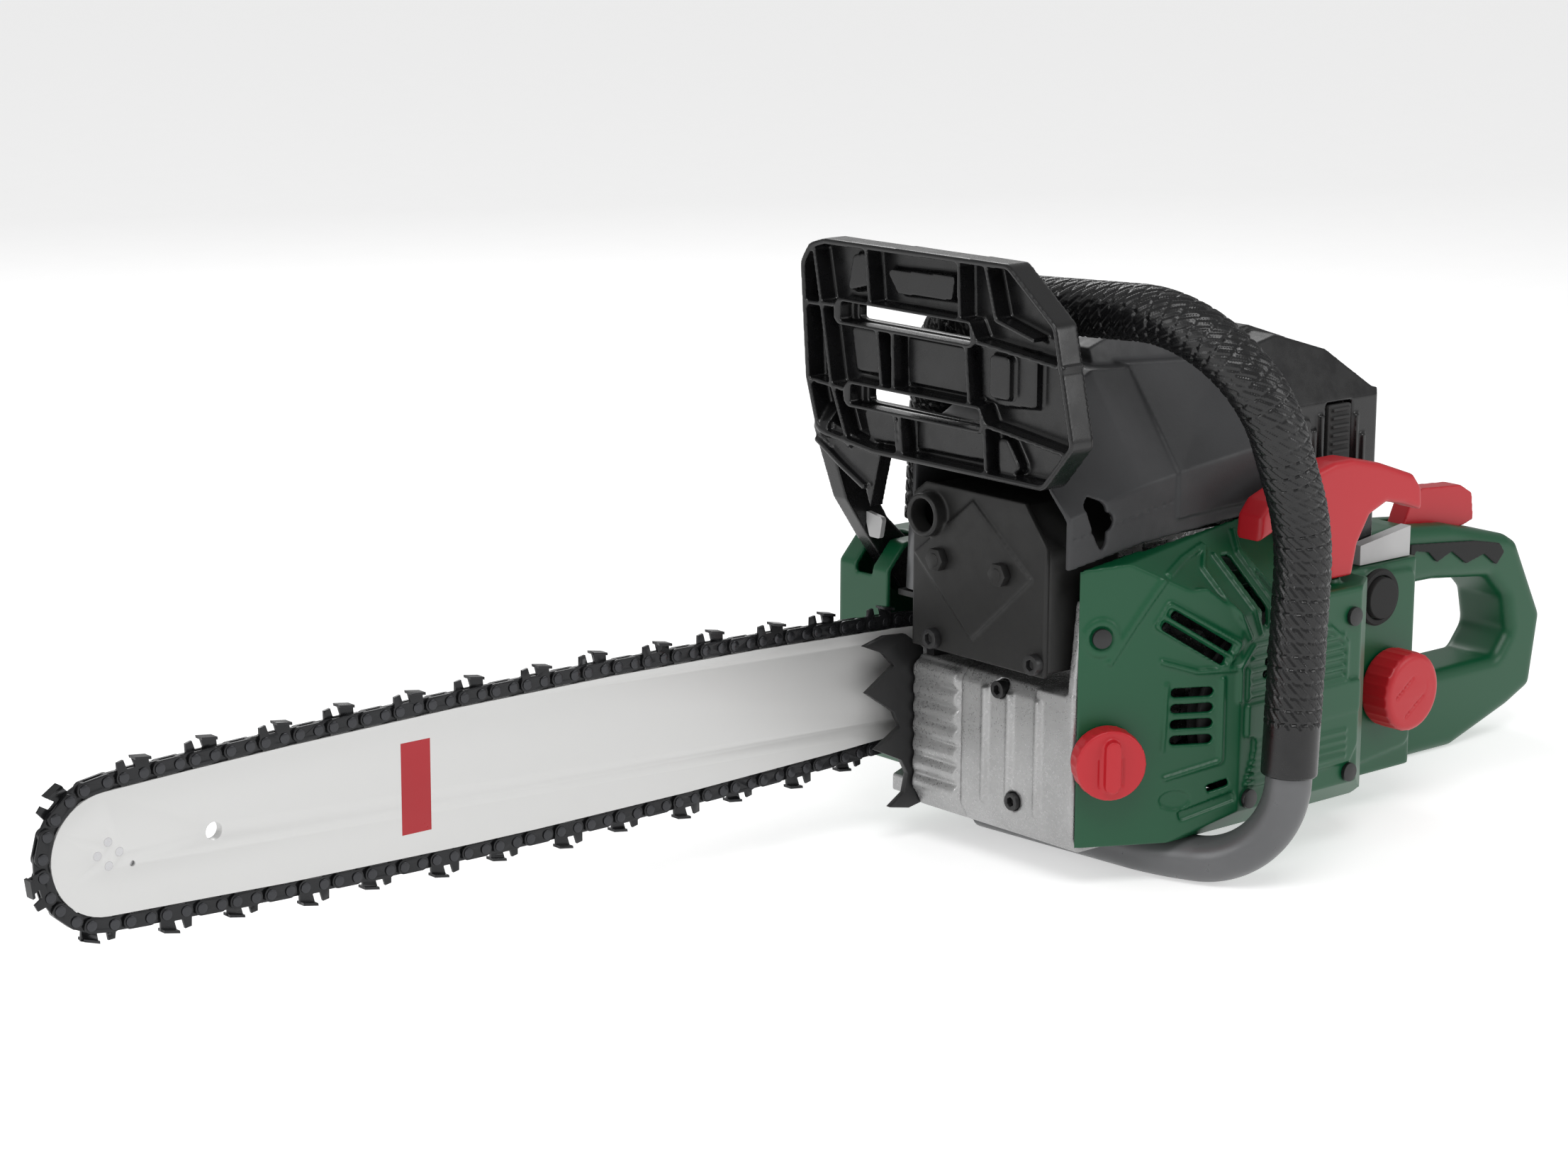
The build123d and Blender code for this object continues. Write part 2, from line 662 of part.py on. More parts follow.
# ---- cylinder, piston and crank ---------------------------------------------------------------
crown_z = crank_z + stroke / 2 + conrod_length + pin_to_crown
pin_z = crown_z - pin_to_crown
crankpin_z = crank_z + stroke / 2
head_z = crown_z + 2.0
head_top_z = head_z + 20.0
with BuildPart() as cylinder:
    add(block(-deck_half + 2, deck_half - 2, -32, 32, deck_z, deck_z + 6))
    add(rod((0, 0, deck_z - 6), (0, 0, head_top_z), skirt_radius))
    add(rod((0, 0, deck_z + 6), (0, 0, head_top_z - 4), barrel_radius))
    for index in range(fin_count):
        low = deck_z + 11 + index * fin_pitch
        add(block(fin_front_x, fin_rear_x, -fin_half_y, fin_half_y, low, low + fin_thickness))
    add(block(-55, -20, -28, 20, 138, 158))
    add(block(20, 56, -14, 14, 136, 158))
    add(rod((0, 0, deck_z - 13), (0, 0, head_z), bore_radius), mode=Mode.SUBTRACT)
    add(rod((-64, 0, 148), (0, 0, 148), 8), mode=Mode.SUBTRACT)
    add(rod((0, 0, 148), (60, 0, 148), 9), mode=Mode.SUBTRACT)
    for y, z in muffler_studs:
        add(rod((-64, y, z), (-44, y, z), 3 + press), mode=Mode.SUBTRACT)
    add(rod((0, 0, head_z - 1), (0, 0, head_top_z + 1), 7 + press), mode=Mode.SUBTRACT)
save("cylinder", cylinder.part)

with BuildPart() as piston:
    add(rod((0, 0, crown_z - piston_height), (0, 0, crown_z), piston_radius))
    add(rod((0, 0, crown_z - piston_height - 1), (0, 0, crown_z - 5), piston_radius - 3), mode=Mode.SUBTRACT)
    for y in (-1, 1):
        add(disc(0, pin_z, min(y * 9, y * 20.5), max(y * 9, y * 20.5), 8))
    add(disc(0, pin_z, -30, 30, 5 + press), mode=Mode.SUBTRACT)
save("piston", piston.part)
with BuildPart() as connecting_rod:
    add(disc(0, pin_z, -5, 5, 8.5))
    add(disc(0, crankpin_z, -6, 6, 12.5))
    add(block(-5, 5, -3.5, 3.5, crankpin_z + 8, pin_z - 6))
    add(disc(0, pin_z, -8, 8, 5 + press), mode=Mode.SUBTRACT)
    add(disc(0, crankpin_z, -8, 8, 7.5 + press), mode=Mode.SUBTRACT)
save("connecting_rod", connecting_rod.part)
save("crank_and_piston_pins", Compound(children=[
    disc(0, pin_z, -20, 20, 5), disc(0, crankpin_z, -web_inner + gap, web_inner - gap, 7.5)]))

shaft_end_y = 86.0
with BuildPart() as crankshaft:
    for low, high in ((-web_outer, -web_inner), (web_inner, web_outer)):
        add(disc(0, crank_z, low, high, web_radius))
    add(disc(0, crank_z, -bearing_inner - bearing_width, -web_outer, journal_radius))
    add(disc(0, crank_z, web_outer, bearing_inner + bearing_width, journal_radius))
    add(disc(0, crank_z, -72, -bearing_inner - bearing_width, shaft_radius))
    add(disc(0, crank_z, bearing_inner + bearing_width, shaft_end_y, shaft_radius))
save("crankshaft", crankshaft.part)

main_bearings = Compound(children=[
    disc(0, crank_z, low, low + bearing_width, bearing_radius, journal_radius + running)
    for low in (-bearing_inner - bearing_width, bearing_inner)])
save("main_bearings", main_bearings)
# ---- ignition ---------------------------------------------------------------------------------
with BuildPart() as spark_plug:
    add(rod((0, 0, head_z), (0, 0, head_top_z), 7))
    add(rod((0, 0, head_top_z), (0, 0, head_top_z + 3), 9))
    with BuildSketch(Plane.XY.offset(head_top_z + 3)):
        RegularPolygon(9.5, 6)
    extrude(amount=8)
    add(rod((0, 0, head_top_z + 11), (0, 0, head_top_z + 25), 5))
save("spark_plug", spark_plug.part)
with BuildPart() as plug_boot:
    add(rod((0, 0, head_top_z + 13), (0, 0, head_top_z + 31), 9, 5 + gap))
    add(rod((0, 0, head_top_z + 26), (0, 0, head_top_z + 33), 9))
save("plug_boot", plug_boot.part)
with BuildPart() as ignition_coil:
    coil_low_z = oil_cap[2] + neck_radius + 2
    add(block(-69, -56, -73, -66, coil_low_z, coil_low_z + 22))
    for z in (coil_low_z + 2, coil_low_z + 15):
        add(block(-57, -flywheel_radius - 2, -72, -67, z, z + 5))
save("ignition_coil", ignition_coil.part)

with BuildPart() as flywheel:
    add(disc(0, crank_z, -52, -45, flywheel_radius))
    add(disc(0, crank_z, -70, -45, 15))
    for blade in range(blade_count):
        angle = 2 * pi * blade / blade_count
        with Locations(Location((32 * cos(angle), -61, crank_z + 32 * sin(angle)), (0, -degrees(angle), 0))):
            Box(22, 20, 2.2)
    add(disc(0, crank_z, -80, -40, shaft_radius), mode=Mode.SUBTRACT)
save("flywheel", flywheel.part)

# ---- starter ----------------------------------------------------------------------------------
cover_top_z = 158.0
notch_z = 125.5
stem_bottom_z = 129.0
cover_low_z = 20.0
shoulder_z = 124.0
handle_notch_x = 27.0
post_radius = 6.0


def cover_solid(wall):
    """Starter cover's outer or inner solid: a facet in front, a slope above."""
    shrink = wall
    plan = [(case_front_x + 1 + 2 * shrink, -64.5 + shrink * 0.2), (-30.4 + shrink * 0.3,
                    starter_face_y + shrink),
            (50 - shrink * 0.4, starter_face_y + shrink), (66 - shrink, -90 + shrink * 0.4), (66 - shrink,
                            -69),
            (57 - shrink, -69), (57 - shrink, case_left_y - 1), (-44, case_left_y - 1), (-44, -64.5)]
    with BuildPart() as piece:
        with BuildSketch(Plane.XY.offset(cover_low_z + wall)):
            with BuildLine():
                Polyline(*plan, close=True)
            make_face()
        extrude(amount=cover_top_z - cover_low_z - 2 * wall)
        slope = [(starter_face_y - 5, shoulder_z - wall - 5.0), (starter_face_y - 5, 170), (-60, 170),
                 (-68, cover_top_z - 1 - wall), (starter_face_y, shoulder_z - wall)]
        with BuildSketch(Plane.YZ.offset(-120)):
            with BuildLine():
                Polyline(*slope, close=True)
            make_face()
        extrude(amount=220, mode=Mode.SUBTRACT)
        toe = [(starter_face_y - 5, 10), (starter_face_y - 5, 33 + wall), (starter_face_y, 33 + wall),
               (starter_face_y + 16, cover_low_z + wall), (starter_face_y + 16, 10)]
        with BuildSketch(Plane.YZ.offset(-120)):
            with BuildLine():
                Polyline(*toe, close=True)
            make_face()
        extrude(amount=220, mode=Mode.SUBTRACT)
        add(slab(starter_face_y - 5, -60, [(-110, cover_top_z - 12 - wall), (-110, 180), (0, 180), (0,
                        cover_top_z - wall)]),
            mode=Mode.SUBTRACT)
        # behind the cylinder the top drops to where the starter rope comes out
        add(block(handle_notch_x - wall, 80, -110, -30, notch_z - wall, 180), mode=Mode.SUBTRACT)
        add(block(-60, 80, -66.5 + wall, -30, notch_z - wall, 180), mode=Mode.SUBTRACT)
    return piece.part


facet_plane = Plane(origin=(case_front_x + 1, -64.5, crank_z), x_dir=(cos(radians(-28.3)),
                sin(radians(-28.3)), 0),
                    z_dir=(sin(radians(-28.3)), -cos(radians(-28.3)), 0))
with BuildPart() as starter_cover:
    add(cover_solid(0.0))
    add(cover_solid(cover_wall), mode=Mode.SUBTRACT)
    add(block(-44, 57 - cover_wall, -50, case_left_y + 1, cover_low_z + cover_wall, notch_z - cover_wall),
        mode=Mode.SUBTRACT)
    add(rod(tuple(Vector(*oil_cap) - neck_axis * 16), tuple(Vector(*oil_cap) + neck_axis * 12),
            neck_radius + gap),
        mode=Mode.SUBTRACT)
    # cooling slots: four level ones, two slanting ones
    with BuildSketch(facet_plane.offset(6)):
        with Locations(*[(54, 15.0 - 7.3 * index) for index in range(4)]):
            SlotOverall(20, 4.2)
        for x, z in ((57.3, 42.8), (53.4, 37.3)):
            with Locations(Location((x, z), -31)):
                SlotOverall(34, 4.2)
    extrude(amount=-12, mode=Mode.SUBTRACT)
    with BuildSketch(side(starter_face_y + 12)):
        with Locations(*[Location((18 + 7.5 * index, 104), 78) for index in range(-4, 1)]):
            SlotOverall(30, 3.6)
    extrude(amount=14, mode=Mode.SUBTRACT)
    # raised panel and level ribs on the main face
    add(slab(starter_face_y - 1.6, starter_face_y, [(-22, 43), (44, 43), (49, 51), (49, 78), (-22, 78)],
             corner=2))
    for index in range(4):
        add(slab(starter_face_y - 2.4, starter_face_y, [(0, 46 + 4 * index), (40, 46 + 4 * index),
                                                       (40, 47.6 + 4 * index), (0, 47.6 + 4 * index)]))
    # post for the pulley, and the rope's eye
    add(disc(0, crank_z, starter_face_y + 1, pulley_y + 12, post_radius))
    add(rod((rope_line, pulley_y, notch_z - 1), (rope_line, pulley_y, stem_bottom_z - 1), 5.5))
    add(rod((rope_line, pulley_y, 110), (rope_line, pulley_y, stem_bottom_z), rope_radius + 0.6),
        mode=Mode.SUBTRACT)
save("starter_cover", starter_cover.part)

with BuildPart() as starter_pulley:
    add(disc(0, crank_z, pulley_y - 4, pulley_y + 4, pulley_radius))
    add(disc(0, crank_z, pulley_y - 2.2, pulley_y + 2.2, pulley_radius + 1, rope_line - rope_radius - 0.4),
        mode=Mode.SUBTRACT)
    add(disc(0, crank_z, pulley_y + 4, pulley_y + 9, 16))
    add(disc(0, crank_z, pulley_y - 6, pulley_y + 12, post_radius + running), mode=Mode.SUBTRACT)
    with BuildSketch(crank_side(pulley_y + 5)):
        with PolarLocations(30, 5):
            Circle(7)
    extrude(amount=10, mode=Mode.SUBTRACT)
save("starter_pulley", starter_pulley.part)

with BuildPart() as recoil_spring:
    for turn in range(6):
        radius = 12 + 3.0 * turn
        add(disc(0, crank_z, -97.5, -91.5, radius + 1.0, radius))
    add(block(11, 27.5, -95.0, -94.0, crank_z - 0.6, crank_z + 0.6))
save("recoil_spring", recoil_spring.part)

rope_top_z = stem_bottom_z + 5
with BuildPart() as starter_rope:
    add(rod((rope_line, pulley_y, crank_z), (rope_line, pulley_y, rope_top_z), rope_radius))
save("starter_rope", starter_rope.part)

grip_half = 56.0
with BuildPart() as starter_handle:
    with BuildSketch(side(pulley_y + 8)) as face:
        with BuildLine():
            Polyline((rope_line - 8, stem_bottom_z), (rope_line + 8, stem_bottom_z), (rope_line + 11, 143),
                     (rope_line + 19, 155.5), (rope_line + 31, 160), (rope_line + 43, 157.5),
                     (rope_line + grip_half, 153), (rope_line + grip_half - 1, 164),
                     (rope_line + grip_half - 7, 171),
                     (rope_line + 26, 179), (rope_line + 6, 183.5), (rope_line - 6, 183.5),
                     (rope_line - 26, 179),
                     (rope_line - grip_half + 7, 171), (rope_line - grip_half + 1, 164),
                     (rope_line - grip_half, 153), (rope_line - 43, 157.5), (rope_line - 31, 160),
                     (rope_line - 19, 155.5), (rope_line - 11, 143), close=True)
        make_face()
        fillet(face.vertices().filter_by(lambda v: v.Z > 140), radius=3)
    extrude(amount=16)
    fillet(starter_handle.faces().filter_by(Axis.Y).edges().filter_by(lambda e: e.center().Z > 130),
           radius=2.5)
    add(rod((rope_line, pulley_y, stem_bottom_z - 1), (rope_line, pulley_y, rope_top_z), rope_radius + gap),
        mode=Mode.SUBTRACT)
save("starter_handle", starter_handle.part)

# ---- cylinder cover ---------------------------------------------------------------------------
hood_left_y = -68.0
hood_right_y = 33.0
hood_right_rear_y = 44.0
hood_crown_y = 14.0
hood_rear_x = 21.0


def hood_sections(inset):
    """Outlines of the cylinder cover at its front, its shoulder and its rear."""
    left, right, drop = hood_left_y + inset, hood_right_y - inset, inset * 1.15
    rear_right = hood_right_rear_y - inset
    foot = -8 if inset else 0
    return [
        (-108.0 - (1 if inset else 0), [(left, 149 + foot), (left, 172 - drop * 0.5), (-35, 206 - drop),
                                        (hood_crown_y, 208 - drop), (right, 188 - drop * 0.5),
                                        (right, 149 + foot)]),
        (-63.0, [(left, 155 + foot), (left, 181 - drop * 0.5), (-35, 229 - drop), (hood_crown_y, 231 - drop),
                 (right, 207 - drop * 0.5), (right, 155 + foot)]),
        (hood_rear_x + (1 if inset else 0), [(left, 160 + foot), (left, 192 - drop * 0.5), (-35, 224 - drop),
                                             (hood_crown_y, 226 - drop), (rear_right, 207 - drop * 0.5),
                                             (rear_right, 160 + foot)]),
    ]


def hood_solid(inset):
    front, middle, rear = hood_sections(inset)
    return skinned([front, middle]) + skinned([middle, rear])


with BuildPart() as cylinder_cover:
    add(hood_solid(0.0))
    add(skinned([(-52, [(-30, 215), (-22, 236), (6, 236), (12, 215)]),
                 (-36, [(-30, 215), (-22, 241), (6, 241), (12, 215)])]))
    add(skinned([(-36, [(-30, 215), (-22, 241), (6, 241), (12, 215)]),
                 (hood_rear_x, [(-30, 215), (-22, 236), (6, 236), (12, 215)])]))
    add(hood_solid(2.5), mode=Mode.SUBTRACT)
    add(block(-33, hood_rear_x - 2.5, -20, 5, 210, 233.5), mode=Mode.SUBTRACT)
    # screw pockets, one on each side
    with Locations(Location((-84, hood_left_y, 168), (90, 0, 0))):
        Cylinder(4, 8, mode=Mode.SUBTRACT)
save("cylinder_cover", cylinder_cover.part)

# ---- intake -----------------------------------------------------------------------------------
intake_z = 148.0
with BuildPart() as intake_boot:
    add(rod((56, 0, intake_z), (70, 0, intake_z), 15, 9))
save("intake_boot", intake_boot.part)
with BuildPart() as carburettor:
    add(block(70, 100, -17, 17, intake_z - 16, intake_z + 16))
    add(rod((100, 0, intake_z), (104, 0, intake_z), 14))
    add(rod((69, 0, intake_z), (105, 0, intake_z), 9), mode=Mode.SUBTRACT)
    for y in (-20, 20):
        add(rod((85, min(y, 0), intake_z), (85, max(y, 0), intake_z), 2.5))
    add(disc(85, intake_z, -1, 1, 8.5))
save("carburettor", carburettor.part)
with BuildPart() as air_filter:
    add(block(104, 108, -34, 30, 130, 184))
    add(block(108, 124, -24, 22, 132, 178))
    add(rod((103, 0, intake_z), (118, 0, intake_z), 12), mode=Mode.SUBTRACT)
save("air_filter", air_filter.part)

filter_left_y = -56.0
filter_right_y = 44.0


filter_step = (34.0, 186.0)  # the front stands over the cylinder's rear fins
filter_foot_z = 125.5
filter_outline = [
    (filter_step[0], 162), filter_step, (hood_rear_x + gap, filter_step[1]), (hood_rear_x + gap, 229), (52,
                    234),
    (82, 224.5), (92, 216.5), (106, 205.5), (136, 198), (143, 184), (147, 168), (154, 153), (156, 142),
    (132, filter_foot_z), (62, filter_foot_z)]
filter_room = [
    (filter_step[0] + 2.5, 150), (filter_step[0] + 2.5, filter_step[1] + 2.5),
    (hood_rear_x + 2.7, filter_step[1] + 2.5), (hood_rear_x + 2.7, 226.5), (52, 231.5), (81, 222), (90.5,
                    214),
    (104.5, 203), (134, 195.3), (140.5, 183), (144.4, 167), (151.2, 152), (152.7, 143), (129.5, 127),
    (129.5, filter_foot_z - 4), (62, filter_foot_z - 4)]
filter_shoulder = 22.0
filter_corner_x = 107.0
filter_nose_x = 146.0
filter_nose_half = 14.0


def corner_cut(sign, inset):
    """Wedge that slopes one rear corner of the filter cover towards its narrow nose."""
    edge, nose = sign * 57, sign * (filter_nose_half - inset)
    with BuildPart() as piece:
        with BuildSketch(Plane.XY.offset(100)):
            with BuildLine():
                Polyline((filter_corner_x - 1.37 * inset, edge), (filter_nose_x - 0.45 * inset, nose),
                         (200, nose),
                         (200, edge), close=True)
            make_face()
        extrude(amount=150)
    return piece.part


def shoulder_cut(y, sign):
    """Wedge that slopes one upper side of the filter cover inwards."""
    with BuildPart() as piece:
        with BuildSketch(Plane.YZ):
            with BuildLine():
                Polyline((y - sign, 250), (y - sign, 202), (y, 202), (y + sign * filter_shoulder, 250),
                         close=True)
            make_face()
        extrude(amount=200)
    return piece.part


latch_x = (73.0, 89.0)
latch_z = (170.0, 200.0)


def latch_field(margin):
    """Outline round the latch."""
    (x0, x1), (z0, z1) = latch_x, latch_z
    return [(x0 - margin, z0 - margin), (x1 + margin, z0 - margin), (x1 + margin, z1 + margin),
            (x0 - margin, z1 + margin)]


room_left, room_right = filter_left_y + cover_wall, filter_right_y - cover_wall
with BuildPart() as filter_room_solid:
    add(slab(room_left, room_right, filter_room))
    add(shoulder_cut(room_left, 1), mode=Mode.SUBTRACT)
    add(shoulder_cut(room_right, -1), mode=Mode.SUBTRACT)
    for sign in (-1, 1):
        add(corner_cut(sign, 2.5), mode=Mode.SUBTRACT)
with BuildPart() as filter_cover:
    add(slab(filter_left_y, filter_right_y, filter_outline))
    add(shoulder_cut(filter_left_y, 1), mode=Mode.SUBTRACT)
    add(shoulder_cut(filter_right_y, -1), mode=Mode.SUBTRACT)
    for sign in (-1, 1):
        add(corner_cut(sign, 0), mode=Mode.SUBTRACT)
    add(filter_room_solid.part, mode=Mode.SUBTRACT)
    add(slab(filter_left_y + 1, filter_left_y + 7, latch_field(4)))
    add(slab(filter_left_y - 1, filter_left_y + 5, latch_field(1)), mode=Mode.SUBTRACT)
save("filter_cover", filter_cover.part)

with BuildPart() as filter_latch:
    add(slab(filter_left_y - 0.5, filter_left_y + 2.2, latch_field(0), corner=1.5))
    for z in range(177, 198, 4):
        add(slab(filter_left_y - 2, filter_left_y - 0.4, [(75, z), (87, z), (87, z + 1.6), (75, z + 1.6)]))
save("filter_latch", filter_latch.part)

# ---- tank and rear handle ---------------------------------------------------------------------
loop_outer = [(126, 119), (176, 121), (216, 117), (262, 105.5), (270, 101), (292, 60), (286, 22), (268, 14),
              (224, 0), (188, 0), (126, 17)]
loop_inner = [(139, 91), (205, 90), (248, 85), (262, 72), (266, 54), (256, 42), (139, 42)]
slot_half = 6.0
with BuildPart() as tank_housing:
    with BuildSketch(side(handle_half_width)) as face:
        with BuildLine():
            Polyline(*loop_outer, close=True)
        make_face()
        fillet(face.vertices().filter_by(lambda v: v.X > 200), radius=6)
        with BuildSketch(mode=Mode.SUBTRACT) as hole:
            with BuildLine():
                Polyline(*loop_inner, close=True)
            make_face()
            fillet(hole.vertices(), radius=7)
    extrude(amount=2 * handle_half_width)
    fillet(tank_housing.faces().filter_by(Axis.Y).edges(), radius=6)
    add(block(tank_front_x, tank_rear_x, tank_left_y, tank_right_y, tank_bottom_z, tank_top_z))
    cavity = block(tank_front_x + tank_wall, tank_rear_x - tank_wall, tank_left_y + tank_wall,
                   tank_right_y - tank_wall, tank_bottom_z + tank_wall, 88)
    add(cavity, mode=Mode.SUBTRACT)
    chamfer(tank_housing.edges().filter_by(Axis.Z).filter_by(lambda e: abs(e.center().X - tank_rear_x) < 1
                                                            and abs(e.center().Y) > 40), length=2.5)
    # fuel filler, primer seat, trigger and lockout slots
    add(disc(*fuel_cap, tank_left_y - 2, tank_left_y + 6, neck_radius))
    add(disc(*fuel_cap, tank_left_y - 3, tank_left_y + 7, neck_bore), mode=Mode.SUBTRACT)
    add(disc(*primer, tank_left_y - 1.5, tank_left_y, primer_radius + 4))
    add(disc(*primer, tank_left_y - 2, tank_left_y + 9, primer_radius + 0.3), mode=Mode.SUBTRACT)
    add(block(142, 182, -slot_half, slot_half, 80, 114), mode=Mode.SUBTRACT)
    add(block(188, 250, -slot_half - 1, slot_half + 1, 101, 130), mode=Mode.SUBTRACT)
    for x, z in (trigger_pivot, lockout_pivot):
        add(disc(x, z, -12, 12, 2 + press), mode=Mode.SUBTRACT)
    add(block(110, 124, 6, 26, 108, 130), mode=Mode.SUBTRACT)
    add(rod((110, 34, 106), (140, 34, 106), 3 + running * 2), mode=Mode.SUBTRACT)
save("tank_housing", tank_housing.part)

with BuildPart() as trigger:
    add(slab(-4.5, 4.5, [(147, 99), (147, 111), (160, 111), (178, 104), (179, 92), (175, 78), (177, 66),
                    (172, 64),
                         (168, 74), (166, 88), (158, 96)], corner=1.5))
    add(disc(*trigger_pivot, -6, 6, 2 + running), mode=Mode.SUBTRACT)
save("throttle_trigger", trigger.part)
with BuildPart() as lockout:
    add(slab(-slot_half + 0.4, slot_half - 0.4, [(191, 105.5), (191, 115), (198, 130), (206, 135.3), (236,
                    133.2),
                                                 (245, 128), (247, 114), (240, 112)], corner=1.5))
    add(disc(*lockout_pivot, -8, 8, 2 + running), mode=Mode.SUBTRACT)
save("throttle_lockout", lockout.part)

with BuildPart() as grip_inlay:
    for sign in (-1, 1):
        low, high = sorted((sign * (handle_half_width + 0.05), sign * (handle_half_width + 1.6)))
        add(slab(low, high, [(182, 101), (186, 108), (196, 106), (203, 100), (214, 104), (226, 96), (240, 99),
                             (250, 92), (256, 98), (252, 103), (232, 107), (182, 112)], corner=0.8))
save("handle_inlays", grip_inlay.part)

save("primer_bulb", disc(*primer, tank_left_y - 6, tank_left_y + 4, primer_radius)
     + disc(*primer, tank_left_y + 4.2 - 0.4, tank_left_y + 6, primer_radius - 2))
with BuildPart() as fuel_filler_cap:
    add(disc(*fuel_cap, tank_left_y - 14, tank_left_y - 2.2, cap_radius))
    add(disc(*fuel_cap, tank_left_y - 15.5, tank_left_y - 14, cap_radius - 2))
    fillet(fuel_filler_cap.edges().filter_by(GeomType.CIRCLE), radius=0.5)
    with BuildSketch(side(tank_left_y - 14, *fuel_cap)):
        SlotOverall(26, 7)
    extrude(amount=5)
    add(disc(*fuel_cap, tank_left_y - 2.2, tank_left_y + 4, neck_bore - 0.5))
save("fuel_cap", fuel_filler_cap.part)
with BuildPart() as oil_filler_cap:
    base = Vector(*oil_cap) + neck_axis * 2.6
    add(rod(tuple(base), tuple(base + neck_axis * 11), oil_cap_radius))
    add(rod(tuple(base - neck_axis * 7), tuple(base), neck_bore - 0.5))
    with BuildSketch(Plane(origin=tuple(base + neck_axis * 11), x_dir=(0, 0, 1), z_dir=neck_axis)):
        SlotOverall(24, 7)
    extrude(amount=4)
save("oil_cap", oil_filler_cap.part)

save("stop_switch", slab(8, 24, [(111, 112), (123, 112), (123, 121), (121, 125), (117, 123), (113, 125),
                (111, 121)]))
with BuildPart() as choke_knob:
    add(rod((112, 34, 106), (134, 34, 106), 3))
    add(rod((134, 34, 106), (144, 34, 106), 8))
save("choke_knob", choke_knob.part)

# ---- front handle -----------------------------------------------------------------------------
def along(first, second, z):
    """Point at height z on a straight stretch."""
    share = (z - first[2]) / (second[2] - first[2])
    return tuple(a + (b - a) * share for a, b in zip(first, second))


def swept(route, bends, radius, bore=0.0):
    """Tube along straight stretches joined by arcs."""
    with BuildPart() as piece:
        with BuildLine() as line:
            FilletPolyline(*route, radius=bends)
        with BuildSketch(Plane(origin=route[0], z_dir=line.line @ 0 * 0 + (line.line % 0))):
            Circle(radius)
            if bore:
                Circle(bore, mode=Mode.SUBTRACT)
        sweep()
    return piece.part


save("front_handle", swept(handle_route, handle_bends, tube_radius, tube_bore))
grip_route = ([along(handle_route[0], handle_route[1], grip_start_z)] + handle_route[1:4]
              + [along(handle_route[3], handle_route[4], grip_end_z)])
save("front_grip", swept(grip_route, handle_bends[:3], grip_radius, tube_radius + gap))
with BuildPart() as handle_clamps:
    add(block(-72, -42, 16, 30, tube_radius, case_bottom_z))
    add(rod(handle_route[-2], handle_route[-1], tube_radius + gap), mode=Mode.SUBTRACT)
    add(block(-94, -74, 33, 57, 114.5, 117.2))
    add(block(-94, -74, 32, 37, case_top_z + 0.02, 117.2))
save("handle_brackets", handle_clamps.part)

# ---- hand guard -------------------------------------------------------------------------------
guard_outline = [(78, 192), (86, 217), (90, 270), (84, 279), (74, 282), (-46, 283.5), (-76, 260), (-88,
                208.5),
                 (-70, 187.5), (40, 187.5)]
guard_slots = [((19, 250), (78, 7)), ((12, 213), (78, 7))]
with BuildPart() as hand_guard:
    with BuildSketch(Plane.YZ.offset(guard_front_x)) as face:
        with BuildLine():
            Polyline(*guard_outline, close=True)
        make_face()
        fillet(face.vertices(), radius=3)
    extrude(amount=guard_back_x - guard_front_x)
    with BuildSketch(Plane.YZ.offset(guard_front_x)) as pockets:
        with BuildLine():
            Polyline(*guard_outline, close=True)
        make_face()
        offset(amount=-3, kind=Kind.INTERSECTION)
        for y in (60, 36, -4, -48):
            with Locations((y, 235)):
                Rectangle(2, 110, mode=Mode.SUBTRACT)
        for centre, (width, height) in guard_slots:
            with Locations(centre):
                Rectangle(width + 8, height + 4, mode=Mode.SUBTRACT)
            with Locations((centre[0], centre[1])):
                Rectangle(190, 2, mode=Mode.SUBTRACT)
    extrude(amount=guard_back_x - guard_front_x - 3, mode=Mode.SUBTRACT)
    with BuildSketch(Plane.YZ.offset(guard_front_x - 1)):
        for centre, (width, height) in guard_slots:
            with Locations(centre):
                Rectangle(width, height)
    extrude(amount=guard_back_x - guard_front_x + 2, mode=Mode.SUBTRACT)
    # web between the plate's lower edge and the arm
    with BuildSketch(Plane.YZ.offset(guard_front_x + 3)):
        with BuildLine():
            Polyline((82, 200), (79, 188), (62, 178.6), (49, 172), (45, 162), (38, 189), close=True)
        make_face()
    extrude(amount=8)
    px, pz = guard_pivot
    add(slab(*guard_arm_y, [(guard_front_x, 193), (guard_back_x, 206), (-103, 172), (-88, 148), (px + 8,
                    pz + 6),
                            (px + 8, pz - 6), (px - 6, pz - 9), (-100, 140), (-112, 160)], corner=3))
    add(disc(*guard_pivot, *guard_arm_y, guard_pin_radius + running), mode=Mode.SUBTRACT)
save("hand_guard", hand_guard.part)
save("pivot_pins", Compound(children=[
    disc(*guard_pivot, guard_arm_y[0] - 2, 98, guard_pin_radius),
    disc(*trigger_pivot, -11, 11, 2), disc(*lockout_pivot, -11, 11, 2)]))

